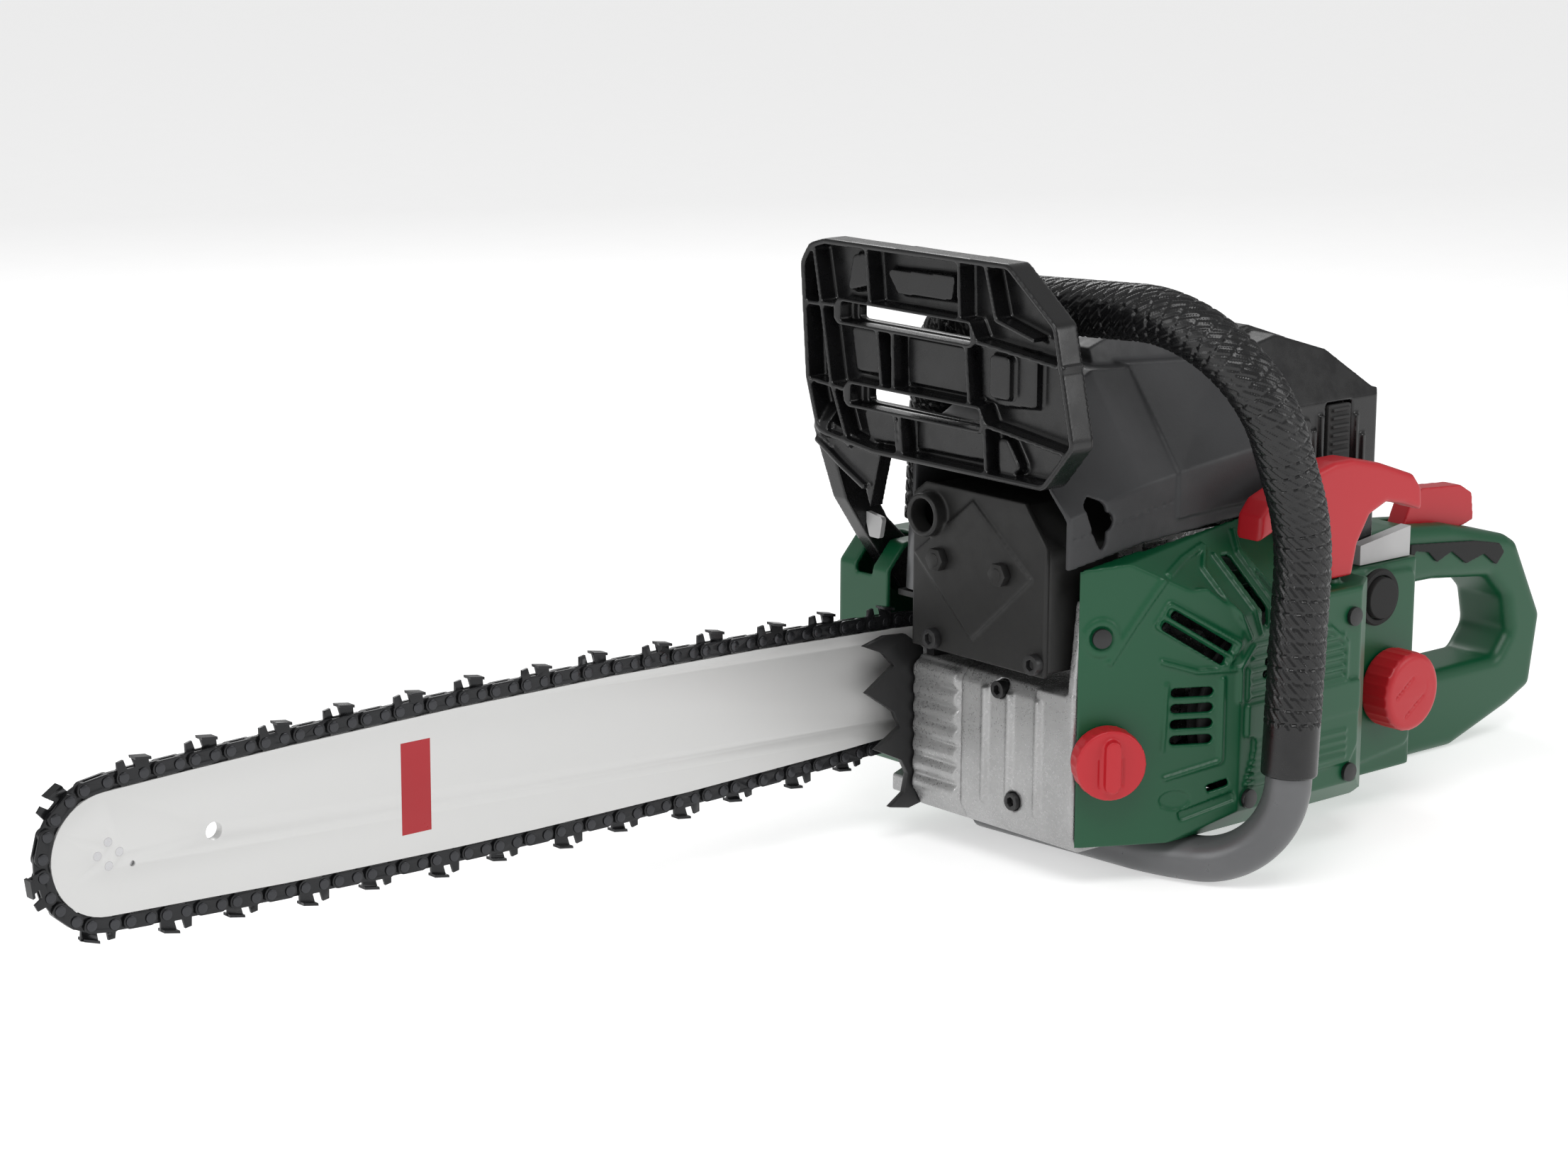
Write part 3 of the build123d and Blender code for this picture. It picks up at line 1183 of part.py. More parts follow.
# ---- clutch -----------------------------------------------------------------------------------
hub_radius = 10.5
with BuildPart() as clutch_drum:
    add(disc(0, crank_z, drum_y, drum_y + drum_wall, drum_radius))
    add(disc(0, crank_z, drum_y, drum_y + drum_depth, drum_radius, drum_radius - drum_wall))
    rail = sprocket_pitch_radius - link_end - 1.2
    add(disc(0, crank_z, bar_y + strap_inner, drum_y, rail))
    add(disc(0, crank_z, bar_inner - 0.6, bar_y - strap_inner, rail))
    with BuildSketch(crank_side(bar_y + strap_inner)):
        Circle(sprocket_pitch_radius - tang_depth - 0.8)
    extrude(amount=2 * strap_inner)
    add(disc(0, crank_z, 40, drum_y + 10, shaft_radius + running), mode=Mode.SUBTRACT)
save("clutch_drum", clutch_drum.part)
shoe_low, shoe_high = drum_y + drum_wall + 1, drum_y + drum_depth - 2
with BuildPart() as clutch_hub:
    add(disc(0, crank_z, shoe_low, shoe_high, 14, shaft_radius))
    for index in range(3):
        angle = radians(90 + 120 * index)
        with Locations(Location((17 * cos(angle), (shoe_low + shoe_high) / 2, crank_z + 17 * sin(angle)),
                                (0, -degrees(angle), 0))):
            Box(12, shoe_high - shoe_low, 8)
save("clutch_hub", clutch_hub.part)
shoe_gap = 1.0
shoes = []
for index in range(3):
    middle = 90 + 120 * index
    with BuildPart() as shoe:
        with BuildSketch(crank_side(shoe_high)):
            with BuildLine():
                outer = CenterArc((0, 0), drum_radius - drum_wall - shoe_gap, middle - 54, 108)
                inner = CenterArc((0, 0), 23.4, middle - 54, 108)
                Line(outer @ 0, inner @ 0)
                Line(outer @ 1, inner @ 1)
            make_face()
        extrude(amount=shoe_high - shoe_low)
    shoes.append(shoe.part)
save("clutch_shoes", Compound(children=shoes))

band_inner = drum_radius + band_gap
band_outer = band_inner + band_thickness
with BuildPart() as brake_band:
    with BuildSketch(crank_side(drum_y + drum_depth - 2)):
        with BuildLine():
            rim = CenterArc((0, 0), band_outer, 130, 300)
            inside = CenterArc((0, 0), band_inner, 130, 300)
            Line(rim @ 0, inside @ 0)
            Line(rim @ 1, inside @ 1)
        make_face()
    extrude(amount=drum_depth - 6)
save("brake_band", brake_band.part)
with BuildPart() as oil_pump:
    add(disc(0, crank_z, case_right_y + 0.3, case_right_y + 7.5, 24, 13))
save("oil_pump", oil_pump.part)

# ---- clutch cover -----------------------------------------------------------------------------
clutch_face_y = 94.0
clutch_low_y = 59.0
clutch_outline = [(case_front_x, 46), (case_front_x, 126), (-88, 138), (-56, 138), (26, 121), (47, 100),
                (47, 48),
                  (30, 28), (-60, 24), (-86, 30)]
with BuildPart() as clutch_cover:
    add(slab(clutch_low_y, clutch_face_y, clutch_outline, corner=4))
    fillet(clutch_cover.faces().sort_by(Axis.Y)[-1].edges(), radius=3)
    with BuildSketch(side(clutch_face_y - cover_wall)) as face:
        with BuildLine():
            Polyline(*clutch_outline, close=True)
        make_face()
        offset(amount=-cover_wall, kind=Kind.INTERSECTION)
    extrude(amount=clutch_face_y - clutch_low_y, mode=Mode.SUBTRACT)
    for x in (front_stud_x, rear_stud_x):
        add(disc(x, crank_z, bar_outer, clutch_face_y, 8.0))
        add(disc(x, crank_z, bar_outer - 1, clutch_face_y + 1, stud_radius + 3 * press), mode=Mode.SUBTRACT)
    add(disc(*guard_pivot, guard_arm_y[1] + 0.6, clutch_face_y, 8))
    add(disc(*guard_pivot, 60, clutch_face_y + 1, guard_pin_radius + press), mode=Mode.SUBTRACT)
    add(block(-104, -70, guard_arm_y[0] - 1, guard_arm_y[1] + 0.5, 122, 142), mode=Mode.SUBTRACT)
save("clutch_cover", clutch_cover.part)
with BuildPart() as bar_nuts:
    for x in (front_stud_x, rear_stud_x):
        with BuildSketch(crank_side(clutch_face_y + 9)):
            with Locations((x, 0)):
                RegularPolygon(7.5, 6)
                Circle(stud_radius + press, mode=Mode.SUBTRACT)
        extrude(amount=8.8)
save("bar_nuts", bar_nuts.part)

# ---- buffers and screws -----------------------------------------------------------------------
save("av_buffers", Compound(children=[
    rod((case_rear_x, y, z), (tank_front_x, y, z), 9) for y, z in ((-24, 40), (30, 40), (0, 80))]))
face_in = Vector(sin(radians(-28.3)), -cos(radians(-28.3)), 0)
cover_screw_points = [(facet_plane * Location((11, 42, 0))).position, Vector(44, starter_face_y, 112),
                      Vector(44, starter_face_y, 38), Vector(-24, starter_face_y, 38)]
cover_screws = [
    rod(tuple(point + direction * 0.02), tuple(point + direction * 2.0), 4.4)
    for point, direction in zip(cover_screw_points, [face_in] + [Vector(0, -1, 0)] * 3)]
save("socket_screws", Compound(children=front_screws + cover_screws))
save("chain_catcher", slab(bumper_y[1] + gap, 57, [(-96, 20), (-84, 20), (-84, 28), (-90, 30), (-96, 28)],
                corner=1.5))
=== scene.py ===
"""Finished looks for a petrol chainsaw, built around its packed CAD frame.

Lengths inside the building functions are millimetres in the saw's own frame: +X runs from the bar's nose
to the rear handle, +Y is the clutch side, +Z is up, and the origin is on the ground below the crankshaft.
"""
import math

import bmesh
import bpy
from bpy.props import FloatProperty, FloatVectorProperty, IntProperty, PointerProperty
from mathutils import Matrix, Vector


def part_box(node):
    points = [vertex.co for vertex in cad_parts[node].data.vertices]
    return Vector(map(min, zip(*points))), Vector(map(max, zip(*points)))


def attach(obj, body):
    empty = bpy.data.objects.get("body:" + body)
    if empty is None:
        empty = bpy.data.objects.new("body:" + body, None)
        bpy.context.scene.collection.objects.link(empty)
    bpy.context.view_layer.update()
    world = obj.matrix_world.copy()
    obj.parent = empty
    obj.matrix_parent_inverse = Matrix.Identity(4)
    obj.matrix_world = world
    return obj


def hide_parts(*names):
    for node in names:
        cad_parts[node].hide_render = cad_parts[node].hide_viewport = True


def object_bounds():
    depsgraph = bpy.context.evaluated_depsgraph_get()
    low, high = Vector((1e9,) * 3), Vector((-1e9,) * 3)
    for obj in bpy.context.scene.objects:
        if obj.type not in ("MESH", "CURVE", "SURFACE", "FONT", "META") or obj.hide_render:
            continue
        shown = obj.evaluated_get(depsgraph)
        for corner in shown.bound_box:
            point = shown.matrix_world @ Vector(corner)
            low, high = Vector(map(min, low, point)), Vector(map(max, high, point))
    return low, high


bl_info = {
    "name": "Chainsaw looks",
    "version": (1, 0, 0),
    "blender": (4, 5, 0),
    "location": "3D View > Sidebar > Chainsaw",
    "description": "Builds the moulded covers, handles, chain and finishes of a petrol chainsaw",
    "category": "Object",
}

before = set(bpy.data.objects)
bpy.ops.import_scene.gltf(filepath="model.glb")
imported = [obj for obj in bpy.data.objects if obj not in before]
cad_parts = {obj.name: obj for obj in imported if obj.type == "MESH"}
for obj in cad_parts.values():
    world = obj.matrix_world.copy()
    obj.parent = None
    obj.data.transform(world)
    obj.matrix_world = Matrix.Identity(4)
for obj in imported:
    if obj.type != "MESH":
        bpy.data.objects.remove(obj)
cad_low, cad_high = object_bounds()
MM = 0.001


def node_box(node):
    """Lowest and highest corner of a CAD node, in millimetres."""
    low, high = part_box(node)
    return low / MM, high / MM


# ---- settings ---------------------------------------------------------------------------------
class SawSizes(bpy.types.PropertyGroup):
    """Sizes that shape the moulded pieces and the grip's braid."""

    skin_step: FloatProperty(name="Skin step", description="Grid step of the moulded skins", default=0.0008,
                             min=0.0004, max=0.003, unit="LENGTH")
    edge_passes: IntProperty(name="Edge passes", description="How often moulded edges are softened",
                    default=3,
                             min=1, max=20)
    braid_depth: FloatProperty(name="Braid depth", description="Depth of the grip's braid", default=0.0009,
                               min=0.0, max=0.002, unit="LENGTH")
    braid_step: FloatProperty(name="Braid step", description="Length of one row of the grip's braid",
                              default=0.0062, min=0.002, max=0.02, unit="LENGTH")
    braid_strands: IntProperty(name="Braid strands", description="Strands round the grip", default=15,
                    min=6, max=40)
    link_edge: FloatProperty(name="Link edge", description="Rounding of the chain links' edges",
                    default=0.00022,
                             min=0.0, max=0.0005, unit="LENGTH")


class SawColours(bpy.types.PropertyGroup):
    """Colours of the saw's finishes, as linear values."""

    green: FloatVectorProperty(name="Green", description="Covers and tank", subtype="COLOR", size=3,
                               default=(0.0003, 0.038, 0.013), min=0.0, max=1.0)
    red: FloatVectorProperty(name="Red", description="Caps, starter handle and lockout", subtype="COLOR",
                    size=3,
                             default=(0.36, 0.0045, 0.011), min=0.0, max=1.0)
    anthracite: FloatVectorProperty(name="Anthracite", description="Cylinder cover", subtype="COLOR", size=3,
                                    default=(0.03, 0.0305, 0.0325), min=0.0, max=1.0)
    black: FloatVectorProperty(name="Black", description="Guard and filter cover", subtype="COLOR", size=3,
                               default=(0.006, 0.006, 0.0065), min=0.0, max=1.0)
    bar: FloatVectorProperty(name="Bar", description="Guide bar's paint", subtype="COLOR", size=3,
                             default=(0.5, 0.5, 0.5), min=0.0, max=1.0)
    cast: FloatVectorProperty(name="Casting", description="Crankcase metal", subtype="COLOR", size=3,
                              default=(0.4, 0.4, 0.4), min=0.0, max=1.0)


def sizes():
    return bpy.context.scene.saw_sizes


def colours():
    return bpy.context.scene.saw_colours


# ---- materials --------------------------------------------------------------------------------
def finish_material(name, colour, rough, metal=0.0, grain_mm=0.5, grain=0.15, mottle=0.08, rough_spread=0.08,
                    coat=0.0, specular=0.5, dust=0.0):
    """Moulded, painted or cast surface: fine grain, slight colour clouds and uneven gloss."""
    found = bpy.data.materials.get(name)
    if found:
        return found
    material = bpy.data.materials.new(name)
    material.use_nodes = True
    nodes, links = material.node_tree.nodes, material.node_tree.links
    shader = nodes["Principled BSDF"]
    shader.inputs["Metallic"].default_value = metal
    shader.inputs["Coat Weight"].default_value = coat
    shader.inputs["Coat Roughness"].default_value = 0.12
    shader.inputs["Specular IOR Level"].default_value = specular
    place = nodes.new("ShaderNodeTexCoord")

    def noise(size_mm, detail, roughness=0.5):
        texture = nodes.new("ShaderNodeTexNoise")
        texture.inputs["Scale"].default_value = 1000.0 / size_mm
        texture.inputs["Detail"].default_value = detail
        texture.inputs["Roughness"].default_value = roughness
        links.new(place.outputs["Object"], texture.inputs["Vector"])
        return texture.outputs["Fac"]

    def ramp(value, low, high, start=0.3, end=0.7):
        band = nodes.new("ShaderNodeValToRGB")
        band.color_ramp.elements[0].position, band.color_ramp.elements[1].position = start, end
        band.color_ramp.elements[0].color = (*low, 1)
        band.color_ramp.elements[1].color = (*high, 1)
        links.new(value, band.inputs["Fac"])
        return band.outputs["Color"]

    dark = [c * (1 - mottle) for c in colour]
    light = [min(1.0, c * (1 + mottle) + dust) for c in colour]
    links.new(ramp(noise(34, 4), dark, light), shader.inputs["Base Color"])
    gloss = nodes.new("ShaderNodeMapRange")
    gloss.inputs["From Min"].default_value, gloss.inputs["From Max"].default_value = 0.3, 0.7
    gloss.inputs["To Min"].default_value = max(0.03, rough - rough_spread)
    gloss.inputs["To Max"].default_value = min(1.0, rough + rough_spread)
    links.new(noise(9, 5, 0.6), gloss.inputs["Value"])
    links.new(gloss.outputs["Result"], shader.inputs["Roughness"])
    bump = nodes.new("ShaderNodeBump")
    bump.inputs["Strength"].default_value = grain
    bump.inputs["Distance"].default_value = 0.00012
    links.new(noise(grain_mm, 2), bump.inputs["Height"])
    links.new(bump.outputs["Normal"], shader.inputs["Normal"])
    return material


def cast_material():
    """Blasted cast metal with a sparkling grain."""
    name = "cast_metal"
    if name in bpy.data.materials:
        return bpy.data.materials[name]
    material = finish_material(name, colours().cast, 0.46, metal=0.75, grain_mm=0.55, grain=0.55, mottle=0.12,
                               rough_spread=0.12)
    nodes, links = material.node_tree.nodes, material.node_tree.links
    shader = nodes["Principled BSDF"]
    place = nodes.new("ShaderNodeTexCoord")
    cells = nodes.new("ShaderNodeTexVoronoi")
    cells.inputs["Scale"].default_value = 1000 / 0.75
    links.new(place.outputs["Object"], cells.inputs["Vector"])
    split = nodes.new("ShaderNodeSeparateColor")
    links.new(cells.outputs["Color"], split.inputs["Color"])
    spread = nodes.new("ShaderNodeMapRange")
    spread.inputs["From Min"].default_value, spread.inputs["From Max"].default_value = 0.55, 1.0
    spread.inputs["To Min"].default_value, spread.inputs["To Max"].default_value = 0.5, 0.2
    links.new(split.outputs["Red"], spread.inputs["Value"])
    links.new(spread.outputs["Result"], shader.inputs["Roughness"])
    return material


def green_plastic():
    return finish_material("green_plastic", colours().green, 0.36, grain=0.1, mottle=0.07, specular=0.3)


def red_plastic():
    return finish_material("red_plastic", colours().red, 0.38, grain=0.12, mottle=0.06)


def black_plastic():
    return finish_material("black_plastic", colours().black, 0.4, grain=0.16, mottle=0.15, rough_spread=0.06)


def guard_plastic():
    return finish_material("guard_plastic", [c * 0.8 for c in colours().black], 0.27, grain=0.06, mottle=0.15,
                           rough_spread=0.07)


def anthracite_plastic():
    return finish_material("anthracite_plastic", colours().anthracite, 0.5, grain_mm=0.7, grain=0.35,
                    mottle=0.08)


def black_rubber():
    return finish_material("black_rubber", (0.012, 0.012, 0.0125), 0.5, grain_mm=0.35, grain=0.3, mottle=0.2)


def grip_rubber():
    return finish_material("grip_rubber", (0.005, 0.005, 0.0055), 0.3, grain_mm=0.3, grain=0.12, mottle=0.2,
                           rough_spread=0.07)


def black_satin():
    return finish_material("black_satin", (0.012, 0.012, 0.0125), 0.4, metal=0.0, grain_mm=0.4, grain=0.12,
                           mottle=0.15)


def muffler_metal():
    return finish_material("muffler_metal", (0.016, 0.0158, 0.0155), 0.47, metal=0.35, grain_mm=0.6,
                    grain=0.2,
                           mottle=0.12)


def tube_metal():
    return finish_material("tube_metal", (0.12, 0.122, 0.126), 0.34, metal=0.3, grain_mm=0.5, grain=0.08)


def bright_metal():
    return finish_material("bright_metal", (0.55, 0.55, 0.56), 0.26, metal=1.0, grain_mm=0.4, grain=0.06)


def chrome_metal():
    return finish_material("chrome_metal", (0.72, 0.72, 0.73), 0.16, metal=1.0, grain_mm=0.8, grain=0.03,
                           rough_spread=0.05)


def chain_metal():
    return finish_material("chain_metal", (0.02, 0.0205, 0.022), 0.24, metal=0.55, grain_mm=0.5, grain=0.05,
                           rough_spread=0.08)


def rivet_metal():
    return finish_material("rivet_metal", (0.05, 0.051, 0.055), 0.22, metal=0.8, grain_mm=0.5, grain=0.05)


def bar_paint():
    return finish_material("bar_paint", colours().bar, 0.33, grain_mm=0.7, grain=0.06, mottle=0.02,
                           rough_spread=0.05, specular=0.4)


def paint(name, colour, rough=0.35):
    return finish_material(name, colour, rough, grain_mm=0.7, grain=0.05, mottle=0.04)


def clear_grey():
    return finish_material("pale_grey_plastic", (0.42, 0.42, 0.42), 0.35, grain=0.1)


def rope_fibre():
    return finish_material("rope_fibre", (0.5, 0.5, 0.48), 0.75, grain_mm=0.8, grain=0.9, mottle=0.2)


def felt():
    return finish_material("filter_felt", (0.55, 0.5, 0.38), 0.9, grain_mm=0.6, grain=0.9, mottle=0.2)


# ---- mesh making ------------------------------------------------------------------------------
def object_from(name, mesh, material, body, stands_for=()):
    """Names a mesh, gives it its finish and hangs it on a body of the frame."""
    piece = bpy.data.objects.new(name, mesh)
    bpy.context.scene.collection.objects.link(piece)
    if material:
        mesh.materials.clear()
        for one in (material if isinstance(material, (list, tuple)) else [material]):
            mesh.materials.append(one)
    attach(piece, body)
    if stands_for:
        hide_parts(*stands_for)
    return piece


def rounded(outline, radius, steps=5):
    """Outline with each corner turned into an arc, as far as its sides leave room."""
    result = []
    count = len(outline)
    for index in range(count):
        corner = Vector(outline[index])
        before, after = Vector(outline[index - 1]) - corner, Vector(outline[(index + 1) % count]) - corner
        angle = before.angle(after)
        if angle > math.radians(176):
            result.append(tuple(corner))
            continue
        reach = min(radius / math.tan(angle / 2), before.length * 0.45, after.length * 0.45)
        size = reach * math.tan(angle / 2)
        first, last = corner + before.normalized() * reach, corner + after.normalized() * reach
        centre = corner + (before.normalized() + after.normalized()).normalized() * (size / math.sin(angle / 2))
        for step in range(steps + 1):
            share = step / steps
            point = first.lerp(last, share) - centre
            result.append(tuple(centre + point.normalized() * size))
    return result


AXES = {"x": lambda a, b, c: (c, a, b), "y": lambda a, b, c: (a, c, b), "z": lambda a, b, c: (a, b, c)}


def prism(shape, axis, outline, low, high, taper=0.0):
    """Adds a solid with a flat outline, from low to high along an axis. Its low end shrinks by taper."""
    put = AXES[axis]
    middle = Vector((0, 0))
    for point in outline:
        middle += Vector(point) / len(outline)
    small = [tuple(middle + (Vector(p) - middle) * (1 - taper)) for p in outline]
    bottom = [shape.verts.new(put(*p, low)) for p in small]
    top = [shape.verts.new(put(*p, high)) for p in outline]
    shape.faces.new(bottom)
    shape.faces.new(top)
    count = len(outline)
    for index in range(count):
        after = (index + 1) % count
        shape.faces.new((bottom[index], bottom[after], top[after], top[index]))


def box(shape, x0, x1, y0, y1, z0, z1):
    prism(shape, "z", [(x0, y0), (x1, y0), (x1, y1), (x0, y1)], z0, z1)


def ring_of(radius, count=40, centre=(0.0, 0.0)):
    return [(centre[0] + radius * math.cos(2 * math.pi * i / count),
             centre[1] + radius * math.sin(2 * math.pi * i / count)) for i in range(count)]


def bar_between(shape, start, end, width, depth_low, depth_high, axis):
    """Straight rib between two points of a plane, standing along the plane's axis."""
    first, last = Vector(start), Vector(end)
    run = (last - first).normalized()
    across = Vector((-run.y, run.x)) * width / 2
    prism(shape, axis, [tuple(first - across), tuple(last - across), tuple(last + across),
                    tuple(first + across)],
          depth_low, depth_high)


def skin_between(shape, sections):
    """Solid through closed sections with the same number of points, with flat sides and ends."""
    rings = [[shape.verts.new(point) for point in section] for section in sections]
    for first, second in zip(rings, rings[1:]):
        count = len(first)
        for index in range(count):
            after = (index + 1) % count
            shape.faces.new((first[index], first[after], second[after], second[index]))
    shape.faces.new(rings[0])
    shape.faces.new(rings[-1])


def turned(shape, profile, origin, axis, count=64):
    """Solid of revolution: profile is (radius, distance along the axis)."""
    direction = Vector(axis).normalized()
    turn = Vector((0, 0, 1)).rotation_difference(direction)
    rings = []
    for radius, height in profile:
        if radius < 1e-6:
            rings.append([shape.verts.new(Vector(origin) + turn @ Vector((0, 0, height)))])
            continue
        rings.append([shape.verts.new(Vector(origin) + turn @ Vector((x, y, height)))
                      for x, y in ring_of(radius, count)])
    for first, second in zip(rings, rings[1:]):
        for index in range(count):
            after = (index + 1) % count
            if len(first) == 1:
                shape.faces.new((first[0], second[after], second[index]))
            elif len(second) == 1:
                shape.faces.new((first[index], first[after], second[0]))
            else:
                shape.faces.new((first[index], first[after], second[after], second[index]))
    if len(rings[0]) > 1:
        shape.faces.new(rings[0])
    if len(rings[-1]) > 1:
        shape.faces.new(rings[-1])


def to_mesh(shape, name):
    """Mesh in metres from a shape in millimetres."""
    bmesh.ops.recalc_face_normals(shape, faces=shape.faces)
    bmesh.ops.scale(shape, vec=(MM, MM, MM), verts=shape.verts)
    mesh = bpy.data.meshes.new(name)
    shape.to_mesh(mesh)
    shape.free()
    return mesh


def node_shape(node):
    """The CAD node's own mesh as a shape in millimetres."""
    shape = bmesh.new()
    shape.from_mesh(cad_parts[node].data)
    bmesh.ops.remove_doubles(shape, verts=shape.verts, dist=1e-6)
    bmesh.ops.scale(shape, vec=(1 / MM, 1 / MM, 1 / MM), verts=shape.verts)
    return shape


def with_modifiers(name, mesh, steps, cutter=None):
    """Mesh after its modifiers: steps is a list of (type, settings)."""
    holder = bpy.data.objects.new(name + "_work", mesh)
    bpy.context.scene.collection.objects.link(holder)
    for kind, settings in steps:
        modifier = holder.modifiers.new(kind.lower(), kind)
        for key, value in settings.items():
            setattr(modifier, key, value)
    graph = bpy.context.evaluated_depsgraph_get()
    result = bpy.data.meshes.new_from_object(holder.evaluated_get(graph))
    result.name = name
    bpy.data.objects.remove(holder)
    if cutter:
        bpy.data.objects.remove(cutter)
    return result


def cutter_object(name, cuts):
    """Closed object to cut with, made of what cuts draws."""
    hollow = bmesh.new()
    cuts(hollow)
    grid = ("REMESH", {"mode": "VOXEL", "voxel_size": sizes().skin_step * 0.6, "adaptivity": 0.0})
    cutter = bpy.data.objects.new(name + "_cutter", with_modifiers(name + "_cutter", to_mesh(hollow, name),
                    [grid]))
    bpy.context.scene.collection.objects.link(cutter)
    return cutter


def moulded(name, node, material, body, extra=None, cuts=None, step=1.0, passes=None, keep=0.35):
    """Skin with soft edges round a CAD node and what extra adds to it, less what cuts takes away."""
    shape = node_shape(node)
    if extra:
        extra(shape)
    mesh = to_mesh(shape, name)
    pitch = sizes().skin_step * step
    steps = [("REMESH", {"mode": "VOXEL", "voxel_size": pitch, "adaptivity": 0.0})]
    cutter = None
    if cuts:
        cutter = cutter_object(name, cuts)
        steps.append(("BOOLEAN", {"operation": "DIFFERENCE", "object": cutter, "solver": "MANIFOLD"}))
        steps.append(("REMESH", {"mode": "VOXEL", "voxel_size": pitch, "adaptivity": 0.0}))
    count = sizes().edge_passes if passes is None else passes
    steps.append(("SMOOTH", {"factor": 0.5, "iterations": count}))
    steps.append(("DECIMATE", {"ratio": keep}))
    result = with_modifiers(name, mesh, steps, cutter)
    result.polygons.foreach_set("use_smooth", [True] * len(result.polygons))
    return object_from(name, result, material, body, [node])


def softened(name, node, material, body, edge=0.3, sort=None, angle=35):
    """Copy of a CAD node with small rounded edges."""
    shape = node_shape(node)
    bmesh.ops.dissolve_limit(shape, angle_limit=math.radians(0.6), verts=shape.verts, edges=shape.edges)
    mesh = to_mesh(shape, name)
    if sort:
        mesh.materials.append(None)
        mesh.materials.append(None)
        sort(mesh)
    result = with_modifiers(name, mesh, [
        ("BEVEL", {"width": edge * MM, "segments": 2, "limit_method": "ANGLE",
                   "angle_limit": math.radians(angle), "use_clamp_overlap": True})])
    result.polygons.foreach_set("use_smooth", [True] * len(result.polygons))
    piece = object_from(name, result, None, body, [node])
    result.materials.clear()
    for one in (material if isinstance(material, (list, tuple)) else [material]):
        result.materials.append(one)
    keep_flat(piece)
    return piece


def keep_flat(piece, angle=30):
    """Marks edges sharper than an angle, so that flat faces stay flat."""
    mesh = piece.data
    shape = bmesh.new()
    shape.from_mesh(mesh)
    for edge in shape.edges:
        if len(edge.link_faces) == 2 and edge.calc_face_angle(0) > math.radians(angle):
            edge.smooth = False
    shape.to_mesh(mesh)
    shape.free()


# ---- front handle -----------------------------------------------------------------------------
TUBE_RADIUS = 10.5
GRIP_RADIUS = 12.8
HANDLE_ROUTE = [(-84, 47, 118), (-78, 47, 254), (-62, -126, 262), (-20, -126, 165), (-27, -126, 10.5),
                (-50, -70, 10.5), (-57, 34, 10.5)]
HANDLE_BENDS = [38, 58, 90, 42, 90]
GRIP_START_Z = 150.0
GRIP_END_Z = 54.0
GRIP_COLLAR = 24.0


def handle_line(step):
    """Points along the front handle's middle line: straight runs joined by arcs."""
    corners = [Vector(p) for p in HANDLE_ROUTE]
    line = [corners[0]]
    for index, radius in enumerate(HANDLE_BENDS):
        corner = corners[index + 1]
        back, ahead = (corners[index] - corner).normalized(), (corners[index + 2] - corner).normalized()
        angle = back.angle(ahead)
        reach = radius / math.tan(angle / 2)
        centre = corner + (back + ahead).normalized() * (radius / math.sin(angle / 2))
        first, last = corner + back * reach - centre, corner + ahead * reach - centre
        turn = first.angle(last)
        count = max(4, int(radius * turn / step))
        for part in range(count + 1):
            share = part / count
            line.append(centre + (first * math.sin((1 - share) * turn) + last * math.sin(share * turn))
                        / math.sin(turn))
    line.append(corners[-1])
    points = [line[0]]
    for first, second in zip(line, line[1:]):
        count = max(1, round((second - first).length / step))
        points += [first.lerp(second, (part + 1) / count) for part in range(count)]
    return points


def carried_frames(points):
    """A direction across the line at each point, carried along without twist."""
    across = Vector((0, 1, 0))
    frames = []
    for index, point in enumerate(points):
        ahead = points[min(index + 1, len(points) - 1)] - points[max(index - 1, 0)]
        ahead.normalize()
        across = (across - ahead * across.dot(ahead)).normalized()
        frames.append((point, ahead, across, ahead.cross(across)))
    return frames


def tube_shape(frames, sides, radius_at):
    """Closed tube round a line of frames. radius_at(distance, angle) is in millimetres."""
    shape = bmesh.new()
    rings = []
    distance = 0.0
    for index, (point, _, side, up) in enumerate(frames):
        if index:
            distance += (point - frames[index - 1][0]).length
        ring = []
        for step in range(sides):
            angle = 2 * math.pi * step / sides
            ring.append(shape.verts.new(point + (side * math.cos(angle) + up * math.sin(angle))
                                        * radius_at(distance, angle)))
        rings.append(ring)
    for first, second in zip(rings, rings[1:]):
        for step in range(sides):
            after = (step + 1) % sides
            shape.faces.new((first[step], first[after], second[after], second[step]))
    shape.faces.new(rings[0])
    shape.faces.new(rings[-1])
    return shape


